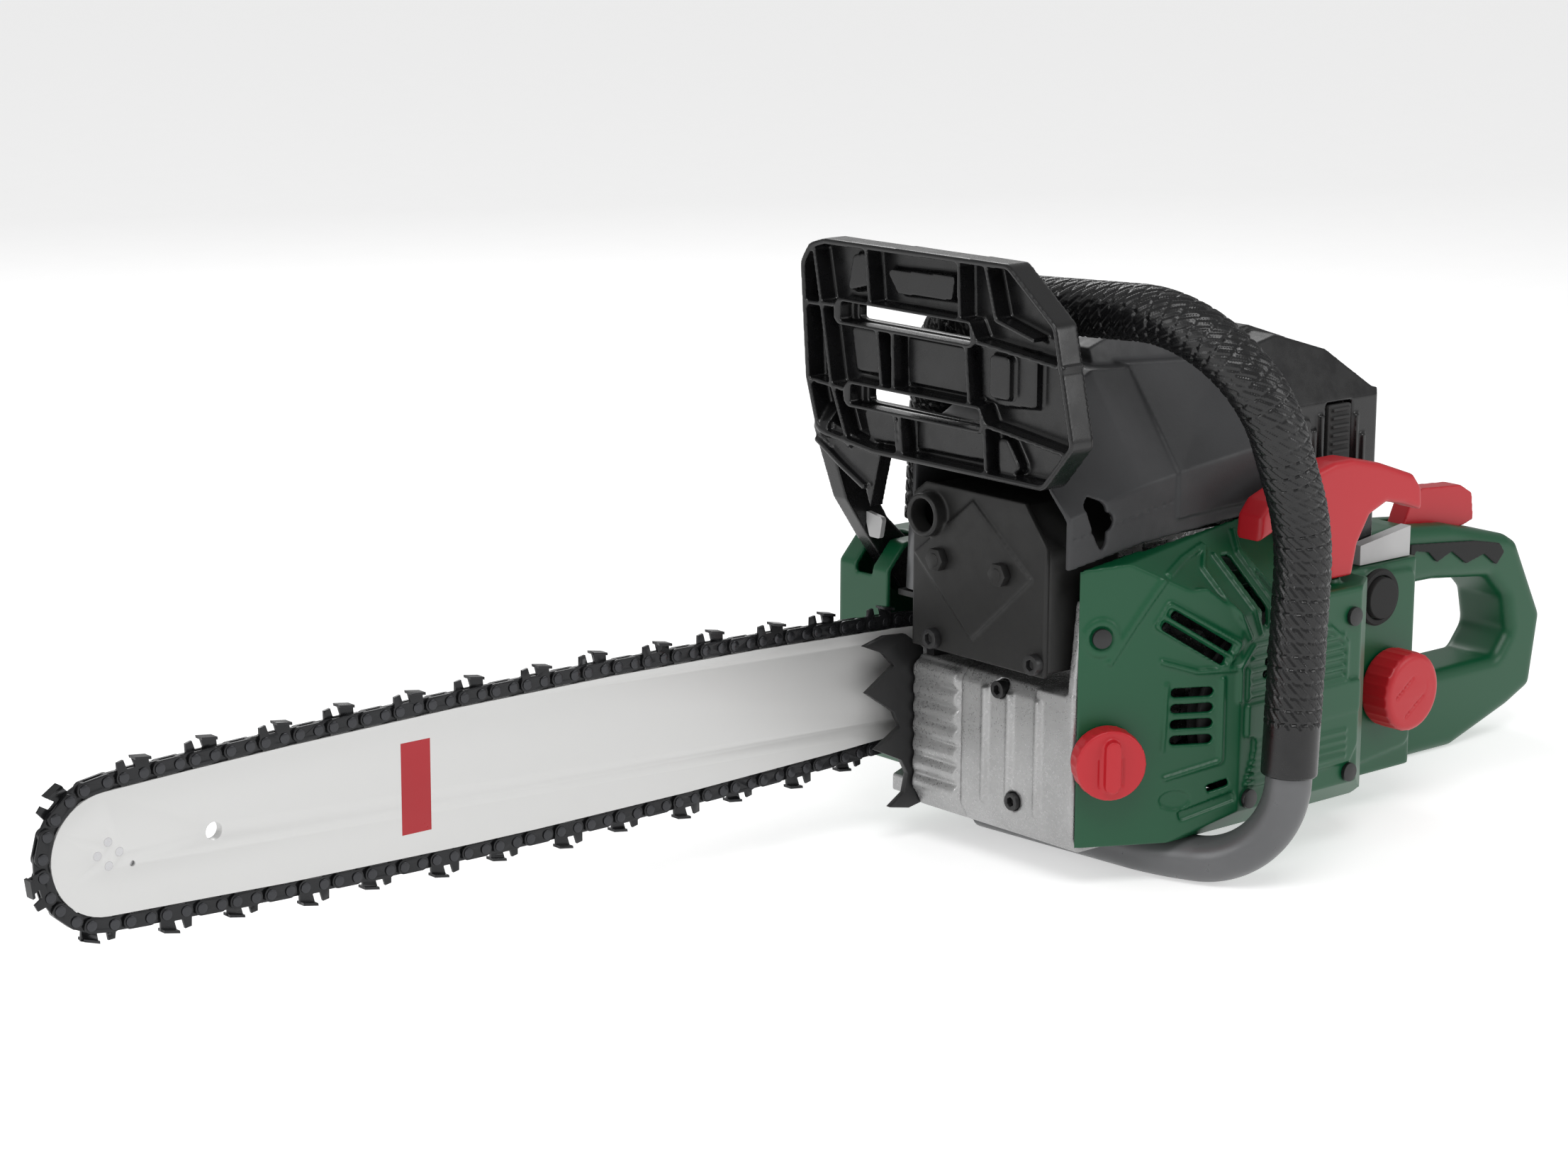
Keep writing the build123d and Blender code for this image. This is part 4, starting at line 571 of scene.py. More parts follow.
def make_front_handle():
    """Grey tube and black braided grip of the front handle."""
    frames = carried_frames(handle_line(2.0))
    tube = tube_shape(frames, 48, lambda distance, angle: TUBE_RADIUS - 0.02)
    mesh = to_mesh(tube, "handle_tube")
    mesh.polygons.foreach_set("use_smooth", [True] * len(mesh.polygons))
    keep_flat(object_from("handle_tube", mesh, tube_metal(), "root", ["front_handle"]), 50)

    fine = carried_frames(handle_line(0.75))
    falling = max(index for index, f in enumerate(fine) if f[0].z >= GRIP_END_Z)
    rising = min(index for index, f in enumerate(fine) if f[0].z >= GRIP_START_Z)
    grip = fine[rising:falling + 1]
    length = sum((b[0] - a[0]).length for a, b in zip(grip, grip[1:]))
    step, depth, strands = sizes().braid_step / MM, sizes().braid_depth / MM, sizes().braid_strands

    def surface(distance, angle):
        ends = min(distance, length - distance)
        edge = GRIP_RADIUS - 0.9 * max(0.0, 1 - ends / 1.2) ** 2
        if length - distance < GRIP_COLLAR:
            return edge - 0.15
        row = distance / step
        turn = strands * angle / (2 * math.pi)
        across = abs((row % 1.0) - 0.5) * 2
        slant = abs(((row * 1.15 + turn + 0.5 * (int(row) % 2)) % 1.0) - 0.5) * 2
        fine = abs(((row * 1.15 + turn + 0.5 * (int(row) % 2) + 0.5) % 1.0) - 0.5) * 2
        cut = max(0.0, (slant - 0.62) / 0.38) ** 0.8
        thin = 0.45 * max(0.0, (fine - 0.82) / 0.18) if across < 0.7 else 0.0
        seam = 0.85 * max(0.0, (across - 0.8) / 0.2) ** 0.7
        return edge - depth * max(cut, thin, seam)

    braid = tube_shape(grip, 180, surface)
    mesh = to_mesh(braid, "handle_grip")
    mesh.polygons.foreach_set("use_smooth", [True] * len(mesh.polygons))
    keep_flat(object_from("handle_grip", mesh, grip_rubber(), "root", ["front_grip"]), 75)


# ---- hand guard -------------------------------------------------------------------------------
GUARD_OUTLINE = [(78, 192), (86, 217), (90, 270), (84, 279), (74, 282), (-46, 283.5), (-76, 260), (-88,
                208.5),
                 (-70, 187.5), (40, 187.5)]
GUARD_SLOTS = [(-20, 58, 246.5, 253.5), (-27, 51, 209.5, 216.5)]
GUARD_RIBS = [((82, 278), (76, 250)), ((76, 250), (69.5, 217)), ((69.5, 217), (57, 188)), ((46.4, 281),
                (43.2, 254)),
              ((-14, 281), (-15.4, 253)), ((39, 248), (34.8, 216)), ((28.4, 248), (27.1, 216)),
              ((-19, 248), (-22.5, 214)), ((27, 211), (23.5, 188)), ((23.5, 211), (21, 188)),
              ((-31.5, 212), (-33.5, 188)), ((88, 251), (64, 252.5)), ((-26, 247), (-81, 242)),
              ((82, 216), (56, 214)), ((-32, 211), (-84, 205)), ((-31, 281), (-38, 258)), ((-38, 258),
                              (-62, 252))]


def make_hand_guard():
    """Front hand guard: a rimmed plate with two framed slots, ribs and bosses, on one arm."""
    low, _ = node_box("hand_guard")
    front, back = low.x, low.x + 13.0
    floor = back - 2.8

    def plate(shape):
        prism(shape, "x", rounded(GUARD_OUTLINE, 6), floor, back)
        middle = Vector((0, 235))
        ring = [Vector(p) for p in rounded(GUARD_OUTLINE, 7)]
        inner = []
        for index, corner in enumerate(ring):
            along = (ring[(index + 1) % len(ring)] - ring[index - 1]).normalized()
            inward = Vector((-along.y, along.x))
            if inward.dot(middle - corner) < 0:
                inward.negate()
            inner.append(corner + inward * 2.6)
        for index in range(len(ring)):
            after = (index + 1) % len(ring)
            if (ring[index] - ring[after]).length > 0.05:
                prism(shape, "x", [ring[index], ring[after], inner[after], inner[index]], front, back)
        for start, end in GUARD_RIBS:
            bar_between(shape, start, end, 2.0, front + 0.8, back, "x")
        for y0, y1, z0, z1 in GUARD_SLOTS:
            frame_line = [(y0 - 7, z0 + 1), (y0 - 3, z0 - 2.6), (y1 + 6, z0 - 2.6), (y1 + 9, z0), (y1 + 9,
                            z1 - 1),
                          (y1 + 6, z1 + 2.6), (y0 - 2, z1 + 2.6)]
            prism(shape, "x", rounded(frame_line, 2.5), front + 0.2, back)
        # stepped fields behind the ribs
        for field, rise in (([(-23, 246), (-33, 246), (-60, 246), (-60, 221), (-36, 219), (-24, 222)], 4.0),
                            ([(-33, 243), (-46, 243), (-46, 223), (-33, 223)], 7.5),
                            ([(39, 272), (-9, 274), (-7, 262), (30, 261)], 5.0),
                            ([(60, 276), (50, 278), (49, 262), (64, 258)], 4.5),
                            ([(26, 243), (-17, 243), (-20, 221), (25, 221)], 2.6),
                            ([(64, 243), (42, 243), (39, 222), (60, 222)], 2.2),
                            ([(54, 206), (30, 207), (27, 193), (49, 191)], 3.4),
                            ([(19, 207), (-28, 207), (-30, 193), (20, 192)], 2.2)):
            prism(shape, "x", rounded(field, 2), floor - rise, back, 0.06)
        prism(shape, "x", rounded([(-36, 207), (-43, 207), (-52, 194), (-48, 189.5), (-36.5, 190)], 2.5),
              floor - 5.5, back, 0.12)
        # web and arm
        prism(shape, "x", [(82, 200), (79, 188), (62, 178.6), (49, 172), (45, 162), (38, 189)], front + 4,
              back - 1)
        bar_between(shape, (80, 189), (62, 178.8), 2.4, front + 0.6, back, "x")
        bar_between(shape, (62, 178.8), (46, 171), 2.4, front + 0.6, back, "x")
        arm = [(front, 196), (back, 208), (-103, 172), (-88, 148), (-62, 124), (-62, 112), (-76, 109),
               (-100, 140),
               (-114, 160)]
        prism(shape, "y", rounded(arm, 4), 71.2, 80.8)

    def slot_cuts(shape):
        for y0, y1, z0, z1 in GUARD_SLOTS:
            for low_x, high_x, grow in ((front - 3, back + 3, 0.0), (front - 2, back - 5, 1.1)):
                prism(shape, "x", rounded([(y0 - grow * 3, z0 - grow), (y1 + grow * 4, z0 - grow),
                                           (y1 + grow * 4, z1 + grow), (y0 - grow * 2, z1 + grow)], 1.6),
                      low_x, high_x)
        prism(shape, "y", ring_of(4.15, 32, (-70, 118)), 60, 90)

    shell = bmesh.new()
    plate(shell)
    cutter = cutter_object("guard", slot_cuts)
    grid = ("REMESH", {"mode": "VOXEL", "voxel_size": sizes().skin_step * 0.75, "adaptivity": 0.0})
    result = with_modifiers("hand_guard_moulding", to_mesh(shell, "guard_shell"), [
        grid, ("BOOLEAN", {"operation": "DIFFERENCE", "object": cutter, "solver": "MANIFOLD"}), grid,
        ("SMOOTH", {"factor": 0.5, "iterations": 2}), ("DECIMATE", {"ratio": 0.4})], cutter)
    result.polygons.foreach_set("use_smooth", [True] * len(result.polygons))
    object_from("hand_guard_moulding", result, guard_plastic(), "guard", ["hand_guard"])


# ---- covers -----------------------------------------------------------------------------------
def make_cylinder_cover():
    """Faceted cover over the cylinder, with a raised roof panel and sunk screw pockets."""
    def extra(shape):
        # step line across the roof and down the side
        skin_between(shape, [[(-40, -69.2, 164), (-40, -69.2, 185), (-40, -36, 229.4), (-40, 13, 231.2),
                              (-40, 13, 226), (-40, -36, 224), (-40, -65, 184), (-40, -65, 164)],
                             [(20.5, -69.0, 166), (20.5, -69.0, 191), (20.5, -36, 225.2), (20.5, 13, 226.8),
                              (20.5, 13, 222), (20.5, -36, 220), (20.5, -65, 190), (20.5, -65, 166)]])

    def cuts(shape):
        # teardrop recess that runs down to the side's screw
        prism(shape, "y", rounded([(-98, 176), (-93, 180), (-86, 177), (-83.5, 170), (-84.5, 158), (-87.5,
                        155),
                                   (-91, 160)], 3), -74, -61)
        prism(shape, "y", ring_of(3.2, 24, (-87.5, 161)), -66, -56)
        # groove along the side below the crease
        bar_between(shape, (-108, 162), (-42, 172), 1.4, -69.5, -67.3, "y")

    moulded("cylinder_cover_moulding", "cylinder_cover", anthracite_plastic(), "root", extra,
            cuts,
            step=0.95, passes=2)


def make_filter_cover():
    """Black cover over the air filter, with facets and ridges beside its latch."""
    low, high = node_box("filter_latch")

    def extra(shape):
        for index, x in enumerate((low.x - 5, low.x - 10)):
            bar_between(shape, (x, low.z - 12), (x, high.z - 4 - 6 * index), 2.4, -57.8, -55, "y")
        bar_between(shape, (high.x + 4, low.z - 12), (high.x + 4, high.z - 6), 2.4, -57.6, -55, "y")
        bar_between(shape, (high.x + 9, low.z - 12), (high.x + 9, high.z - 16), 2.4, -57.6, -55, "y")
        prism(shape, "y", rounded([(26, 178), (46, 186), (60, 200), (60, 164), (40, 150), (26, 158)], 3),
              -57.6, -55)
        # raised panel on the roof
        skin_between(shape, [[(30, -26, 228), (30, 16, 228), (30, 14, 234.6), (30, -24, 234.6)],
                             [(52, -26, 228), (52, 16, 228), (52, 14, 236.4), (52, -24, 236.4)],
                             [(80, -24, 219), (80, 14, 219), (80, 12, 227.6), (80, -22, 227.6)],
                             [(92, -20, 212), (92, 10, 212), (92, 8, 218.6), (92, -18, 218.6)]])

    moulded("filter_cover_moulding", "filter_cover", guard_plastic(), "root", extra, None,
            step=0.9,
            passes=2)
    moulded("filter_latch_moulding", "filter_latch", black_plastic(), "latch", step=0.5,
            passes=1)


def facet_frame(u, v, out):
    """Point on the starter cover's front facet: u along it, v up, out of it."""
    angle = math.radians(-28.3)
    return Vector((-98 + u * math.cos(angle) + out * math.sin(angle),
                   -64.5 + u * math.sin(angle) - out * math.cos(angle), v))


def facet_prism(shape, outline, inner, outer):
    bottom = [shape.verts.new(facet_frame(u, v, inner)) for u, v in outline]
    top = [shape.verts.new(facet_frame(u, v, outer)) for u, v in outline]
    shape.faces.new(bottom)
    shape.faces.new(top)
    count = len(outline)
    for index in range(count):
        after = (index + 1) % count
        shape.faces.new((bottom[index], bottom[after], top[after], top[index]))


def stroke(start, end, width):
    """Outline of a straight stroke."""
    first, last = Vector(start), Vector(end)
    across = (last - first).normalized()
    across = Vector((-across.y, across.x)) * width / 2
    return [tuple(first - across), tuple(last - across), tuple(last + across), tuple(first + across)]


FACET_OUT = Vector((math.sin(math.radians(-28.3)), -math.cos(math.radians(-28.3)), 0))
SLOPE_OUT = Vector((0, -0.717, 0.696))
FRONT_OUT = Vector((0, -1, 0))


def ridge(shape, points, out, width, lift, sink=1.6):
    """Rib along a line of points of a surface, standing along the surface's outward direction."""
    line = [Vector(p) for p in points]
    for first, second in zip(line, line[1:]):
        across = (second - first).cross(out).normalized() * width / 2
        rings = [[point - across - out * sink, point + across - out * sink, point + across * 0.8 + out * lift,
                  point - across * 0.8 + out * lift] for point in (first, second)]
        skin_between(shape, rings)


def make_starter_cover():
    """Green starter cover with its cooling slots, frames, ribs and raised panel."""

    def extra(shape):
        # closed ground for the slanting slots, and their frames
        facet_prism(shape, [(36, 118), (44, 136), (60, 137), (75, 125), (75, 99), (66, 98)], -2.4, 0.0)
        ridge(shape, [facet_frame(*p) for p in ((42.1, 130.7, 0), (76, 111.0, 0), (73.5, 106.6, 0))],
              FACET_OUT, 2.2, 1.8)
        ridge(shape, [facet_frame(*p) for p in ((42.1, 130.7, 0), (39.0, 125.4, 0), (72.5, 105.0, 0))],
              FACET_OUT, 2.0,
              1.8)
        ridge(shape, [facet_frame(*p) for p in ((39.0, 125.4, 0), (36.0, 120.8, 0), (69.5, 100.4, 0),
                        (72.5, 105, 0))],
              FACET_OUT, 2.0, 1.8)
        # frame round the level slots
        ridge(shape, [facet_frame(*p) for p in ((40.5, 62.5, 0), (42, 94, 0))], FACET_OUT, 1.8, 1.0)
        ridge(shape, [facet_frame(*p) for p in ((38.8, 104.3, 0), (56, 99, 0), (76, 99.5, 0))], FACET_OUT,
              2.2, 1.6)
        ridge(shape, [facet_frame(*p) for p in ((68, 95.5, 0), (68, 57, 0), (41, 50, 0))], FACET_OUT, 2.2,
              1.4)
        # sweeping crease from the upper edge down to the casting
        ridge(shape, [(-29, -74.4, 151.4), (-46.2, -78, 147.7), (-60.2, -82.5, 143)], SLOPE_OUT, 3.4, 1.0)
        ridge(shape, [facet_frame(*p) for p in ((40, 142, 0), (31.8, 130.5, 0), (22, 116, 0), (14.6, 104.2,
                        0))],
              FACET_OUT, 3.4, 0.9)
        # ribs and frames that fan over the upper slope
        ridge(shape, [(-29.5, -74.9, 150.8), (-38.1, -82.4, 143.2), (-35.3, -95.6, 129.5), (-32, -101,
                        124)], SLOPE_OUT,
              2.2, 1.8)
        ridge(shape, [(-32, -101, 124), (-24.8, -101, 111.8)], FRONT_OUT, 2.2, 1.6)
        ridge(shape, [(-27, -78, 147.7), (-22.5, -101, 124)], SLOPE_OUT, 2.0, 1.7)
        ridge(shape, [(-12.5, -79, 146.7), (-9, -101, 124)], SLOPE_OUT, 2.0, 1.7)
        ridge(shape, [(-7, -71.2, 154.7), (-11.3, -78.2, 147.5), (-3, -101, 124)], SLOPE_OUT, 2.4, 2.2)
        ridge(shape, [(-22.5, -101, 124), (-18, -101, 113)], FRONT_OUT, 2.0, 1.6)
        # level ribs and boxes of the main face
        for index in range(4):
            bar_between(shape, (-27 + index, 86 + 5.6 * index), (-14, 86 + 5.6 * index), 1.5, -102.4, -99,
                        "y")
        for start, end in (((-31, 84), (-31, 100)), ((-31, 100), (-22.5, 109)), ((-22.5, 109), (28, 109)),
                           ((-26, 84), (-26, 99)), ((28, 109), (40, 100)), ((40, 100), (40, 82))):
            bar_between(shape, start, end, 1.8, -102.5, -99, "y")
        for index in range(5):
            bar_between(shape, (10 + index * 3, 84 + 5 * index), (38, 84 + 5 * index), 1.4, -102.2, -99, "y")
        for index in range(7):
            bar_between(shape, (-27 + index, 45 + 3.1 * index), (-4, 45 + 3.1 * index), 1.3, -103.2, -100,
                        "y")
        prism(shape, "y", rounded([(-27, 67), (49, 67), (49, 82), (-27, 82)], 1.5), -103.0, -100)
        # boss round the front screw
        facet_prism(shape, [(11 + x, 116.5 + z) for x, z in ring_of(8.5, 32)], -2, 0.9)

    def cuts(shape):
        # two slanting slots, a sunk strip and a sunk disc below them
        for start, end in (((43.5, 126.0), (71.5, 108.6)), ((39.2, 121.0), (68.2, 102.9))):
            facet_prism(shape, stroke(start, end, 3.9), -6, 4)
        facet_prism(shape, stroke((49, 32), (75, 40.5), 4.6), -1.3, 4)
        facet_prism(shape, stroke((62, 44.2), (72, 47), 3.4), -4, 4)
        facet_prism(shape, [(47 + x * 1.0, 40 + z * 0.62) for x, z in ring_of(7.5, 32)], -0.9, 3)
        # slot between the fanned frames, and the seat of the front screw
        skin_between(shape, [[(-22.5, -78, 160), (-17, -78, 160), (-17, -78, 140), (-22.5, -78, 140)],
                             [(-17.5, -103, 134), (-13, -103, 134), (-13, -103, 112), (-17.5, -103, 112)]])
        facet_prism(shape, [(11 + x, 116.5 + z) for x, z in ring_of(5.6, 32)], 0.0, 3)

    moulded("starter_cover_moulding", "starter_cover", green_plastic(), "root", extra, cuts,
            step=0.85, passes=2, keep=0.35)


def make_tank_and_handle():
    """Green tank and rear handle with rubber inlays, tabs and the silver strip."""

    def extra(shape):
        # tabs beside the starter cover
        for z in (34, 46, 58):
            box(shape, 60.5, 66, -70.5, -64, z, z + 7)
        prism(shape, "y", rounded([(77, 24), (128, 30), (128, 116), (77, 119)], 5), -67.4, -65)
        # palm swell under the trigger guard
        prism(shape, "y", rounded([(152, 20), (196, 6), (222, 6), (230, 30), (200, 38), (150, 38)], 8),
              -14, 14)

    moulded("tank_moulding", "tank_housing", green_plastic(), "root", extra, None, step=1.15,
            passes=6)
    moulded("inlay_moulding", "handle_inlays", black_rubber(), "root", step=0.7, passes=3)

    strip = bmesh.new()
    skin_between(strip, [[(92, -63, 122), (92, -57, 122), (92, -57, 131.5), (92, -63, 131.5)],
                         [(128, -63, 122), (128, -57, 122), (128, -57, 136.5), (128, -63, 136.5)]])
    object_from("silver_strip", to_mesh(strip, "silver_strip"), clear_grey(), "root")


def make_clutch_cover():
    """Green cover over the clutch, with a stiffening panel."""

    def extra(shape):
        prism(shape, "y", rounded([(-80, 60), (-80, 118), (-40, 124), (20, 112), (34, 96), (34, 54), (20, 40),
                                   (-60, 36)], 8), 93, 93.9)

    moulded("clutch_cover_moulding", "clutch_cover", green_plastic(), "root", extra, None,
            step=1.2)


def make_crankcase():
    """Cast crankcase halves, with waves and ribs."""
    moulded("crankcase_left_casting", "crankcase_left", cast_material(), "root", step=1.1,
            passes=4)
    moulded("crankcase_right_casting", "crankcase_right", cast_material(), "root", step=1.1,
            passes=4)


def make_muffler():
    """Dark pressed muffler with its rhombic plate and outlet."""
    moulded("muffler_front_pressing", "muffler_front", muffler_metal(), "root", step=0.7,
            passes=10)
    moulded("muffler_body_pressing", "muffler_body", muffler_metal(), "root", step=0.9,
            passes=8)
    link = bmesh.new()
    prism(link, "x", rounded([(73, 153), (60, 151), (62, 141), (69, 141)], 1.5), -101.5, -99)
    object_from("brake_link", to_mesh(link, "brake_link"), clear_grey(), "root")
    softened("muffler_nuts", "muffler_bolts", muffler_metal(), "root", 0.3)
    softened("spikes", "spiked_bumper", black_satin(), "root", 0.45)
    softened("screws", "socket_screws", black_satin(), "root", 0.25)


# ---- red pieces -------------------------------------------------------------------------------
def cap_shape(shape, origin, axis, radius, height):
    """Filler cap: a milled disc, in whose face cap_bail_cut sinks a folded bail."""
    direction = Vector(axis).normalized()
    turned(shape, [(radius - 1.4, 0), (radius, 1.2), (radius, height - 1.6), (radius - 1.2, height - 0.5),
                   (radius - 2.6, height)], origin, direction)
    for index in range(24):
        angle = 2 * math.pi * index / 24
        turn = Vector((0, 0, 1)).rotation_difference(direction)
        foot = Vector(origin) + turn @ Vector((radius * math.cos(angle), radius * math.sin(angle), 1.5))
        turned(shape, [(0.55, 0), (0.55, height - 3.4)], foot, direction, 8)


def cap_bail_cut(shape, origin, axis, radius, height, tilt):
    """Grooves that part the bail from its cap."""
    direction = Vector(axis).normalized()
    turn = Vector((0, 0, 1)).rotation_difference(direction)
    spin = Matrix.Rotation(math.radians(tilt), 3, "Z")

    def place(x, y, z):
        return Vector(origin) + turn @ (spin @ Vector((x, y, z)))

    for low, high, across in ((-0.62, 0.2, 0.33), (-0.62, 0.2, -0.33)):
        rings = []
        for z in (height - 1.3, height + 2):
            x0, x1 = low * radius, high * radius
            y = across * radius
            rings.append([place(x0, y - 0.55, z), place(x1, y - 0.55, z), place(x1, y + 0.55, z),
                          place(x0, y + 0.55, z)])
        skin_between(shape, rings)
    arc = [(radius * 0.33 * math.cos(a), radius * 0.33 * math.sin(a)) for a in
           [math.radians(-90 + 180 * i / 12) for i in range(13)]]
    outer = [(0.2 * radius + x * 1.08, y * 1.08) for x, y in arc]
    inner = [(0.2 * radius + x * 0.94, y * 0.94) for x, y in reversed(arc)]
    rings = [[place(x, y, z) for x, y in outer + inner] for z in (height - 1.3, height + 2)]
    skin_between(shape, rings)


def make_caps():
    """Red fuel and oil filler caps."""
    low, high = node_box("fuel_cap")
    centre = Vector(((low.x + high.x) / 2, high.y, (low.z + high.z) / 2))
    face = low.y
    radius = (high.x - low.x) / 2
    base = Vector((centre.x, -68.2, centre.z))
    height = -68.2 - face - 0.1

    def fuel(shape):
        cap_shape(shape, base, (0, -1, 0), radius, height)

    moulded("fuel_cap_moulding", "fuel_cap", red_plastic(), "fuel_filler_cap", fuel,
            lambda shape: cap_bail_cut(shape, base, (0, -1, 0), radius, height, 35), step=0.7, passes=3)

    axis = Vector((-0.5, -math.cos(math.radians(30)), 0))
    seat = Vector((-85, -69.5, 61)) + axis * 2.6

    def oil(shape):
        cap_shape(shape, seat, axis, 16.0, 11.0)

    moulded("oil_cap_moulding", "oil_cap", red_plastic(), "oil_filler_cap", oil,
            lambda shape: cap_bail_cut(shape, seat, axis, 16.0, 11.0, 60), step=0.7, passes=3)
    gasket = bmesh.new()
    turned(gasket, [(12.0, 0), (15.2, 0), (15.6, 0.8), (15.2, 1.7), (12.0, 1.7), (12.0, 0)],
           Vector((-85, -69.5, 61)) + axis * 0.9, axis)
    mesh = to_mesh(gasket, "oil_cap_gasket")
    object_from("oil_cap_gasket", mesh, black_rubber(), "oil_filler_cap")


def make_controls():
    """Starter handle, lockout, trigger, primer and switches."""
    moulded("starter_handle_moulding", "starter_handle", red_plastic(), "pull_handle",
            step=0.9,
            passes=8)
    moulded("lockout_moulding", "throttle_lockout", red_plastic(), "lockout", step=0.7,
            passes=6)
    moulded("trigger_moulding", "throttle_trigger", red_plastic(), "trigger", step=0.7,
            passes=5)
    moulded("primer_moulding", "primer_bulb", black_rubber(), "primer", step=0.6, passes=5)
    moulded("stop_switch_moulding", "stop_switch", black_plastic(), "switch", step=0.6,
            passes=3)
    moulded("choke_knob_moulding", "choke_knob", black_plastic(), "choke", step=0.6,
            passes=3)
    ring = bmesh.new()
    turned(ring, [(10.4, 0), (13.6, 0), (13.8, 1.2), (13.0, 2.4), (11.0, 2.4), (10.4, 1.6), (10.4, 0)],
           (100, -67.4, 106.5), (0, -1, 0))
    mesh = to_mesh(ring, "primer_ring")
    mesh.polygons.foreach_set("use_smooth", [True] * len(mesh.polygons))
    keep_flat(object_from("primer_ring", mesh, black_rubber(), "root"), 40)


# ---- bar and chain ----------------------------------------------------------------------------
def plate_faces_bright(mesh):
    """Gives the second finish to a cutter's faces outside its side plate."""
    low, high = node_box("guide_bar")
    middle = (low.y + high.y) / 2 * MM
    for face in mesh.polygons:
        y = face.center.y - middle
        beyond = abs(y) > 2.05 * MM or abs(y) < 0.7 * MM
        face.material_index = 1 if beyond else 0


def make_chain():
    """Saw chain: dark links, domed rivets and bright cutter plates."""
    edge = sizes().link_edge / MM
    softened("tie_straps", "chain_tie_straps", chain_metal(), "root", edge)
    softened("drive_links", "chain_drive_links", chain_metal(), "root", edge)
    softened("rivets", "chain_rivets", rivet_metal(), "root", 0.35)
    for hand in ("left", "right"):
        softened(f"{hand}_cutters", f"chain_{hand}_cutters", [chain_metal(), chrome_metal()], "root",
                 0.15, sort=plate_faces_bright)


BAND_X = -380.0


def make_bar():
    """Painted guide bar with a plain red band on each side."""
    low, high = node_box("guide_bar")
    softened("bar_blade", "guide_bar", bar_paint(), "root", 0.5)
    middle_z = (low.z + high.z) / 2
    for side, y in (("near", low.y - 0.03), ("far", high.y - 0.02)):
        band = bmesh.new()
        box(band, BAND_X, BAND_X + 15, y, y + 0.05, middle_z - 20, middle_z + 20)
        object_from(f"bar_band_{side}", to_mesh(band, f"bar_band_{side}"), paint("band_red",
                        colours().red), "root")


# ---- what stays CAD ---------------------------------------------------------------------------
KEPT_FINISHES = {
    "air_filter": felt, "av_buffers": black_rubber, "bar_nuts": bright_metal, "bar_studs": bright_metal,
    "brake_band": bright_metal, "carburettor": cast_material, "chain_catcher": cast_material,
    "clutch_drum": bright_metal, "clutch_hub": bright_metal, "clutch_shoes": bright_metal,
    "connecting_rod": bright_metal, "crank_and_piston_pins": bright_metal, "crankshaft": bright_metal,
    "cylinder": cast_material, "flywheel": cast_material, "handle_brackets": black_satin,
    "ignition_coil": black_plastic, "intake_boot": black_rubber, "main_bearings": bright_metal,
    "nose_rivets": bright_metal, "nose_sprocket": bright_metal, "oil_pump": cast_material,
    "piston": cast_material,
    "pivot_pins": bright_metal, "plug_boot": black_rubber, "recoil_spring": bright_metal,
    "spark_plug": bright_metal, "starter_pulley": black_plastic, "starter_rope": rope_fibre,
}


def finish_kept_nodes():
    """Gives every CAD node that is still shown its own finish."""
    for node, maker in KEPT_FINISHES.items():
        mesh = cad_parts[node].data
        mesh.materials.clear()
        mesh.materials.append(maker())


# ---- stage ------------------------------------------------------------------------------------
CAMERA_PLACE = Vector((-1.23484, -1.18607, 0.51166))
CAMERA_AHEAD = Vector((0.6355, 0.7378, -0.2278))
CAMERA_ROLL = math.radians(0.231)
CAMERA_LENS = 85.44


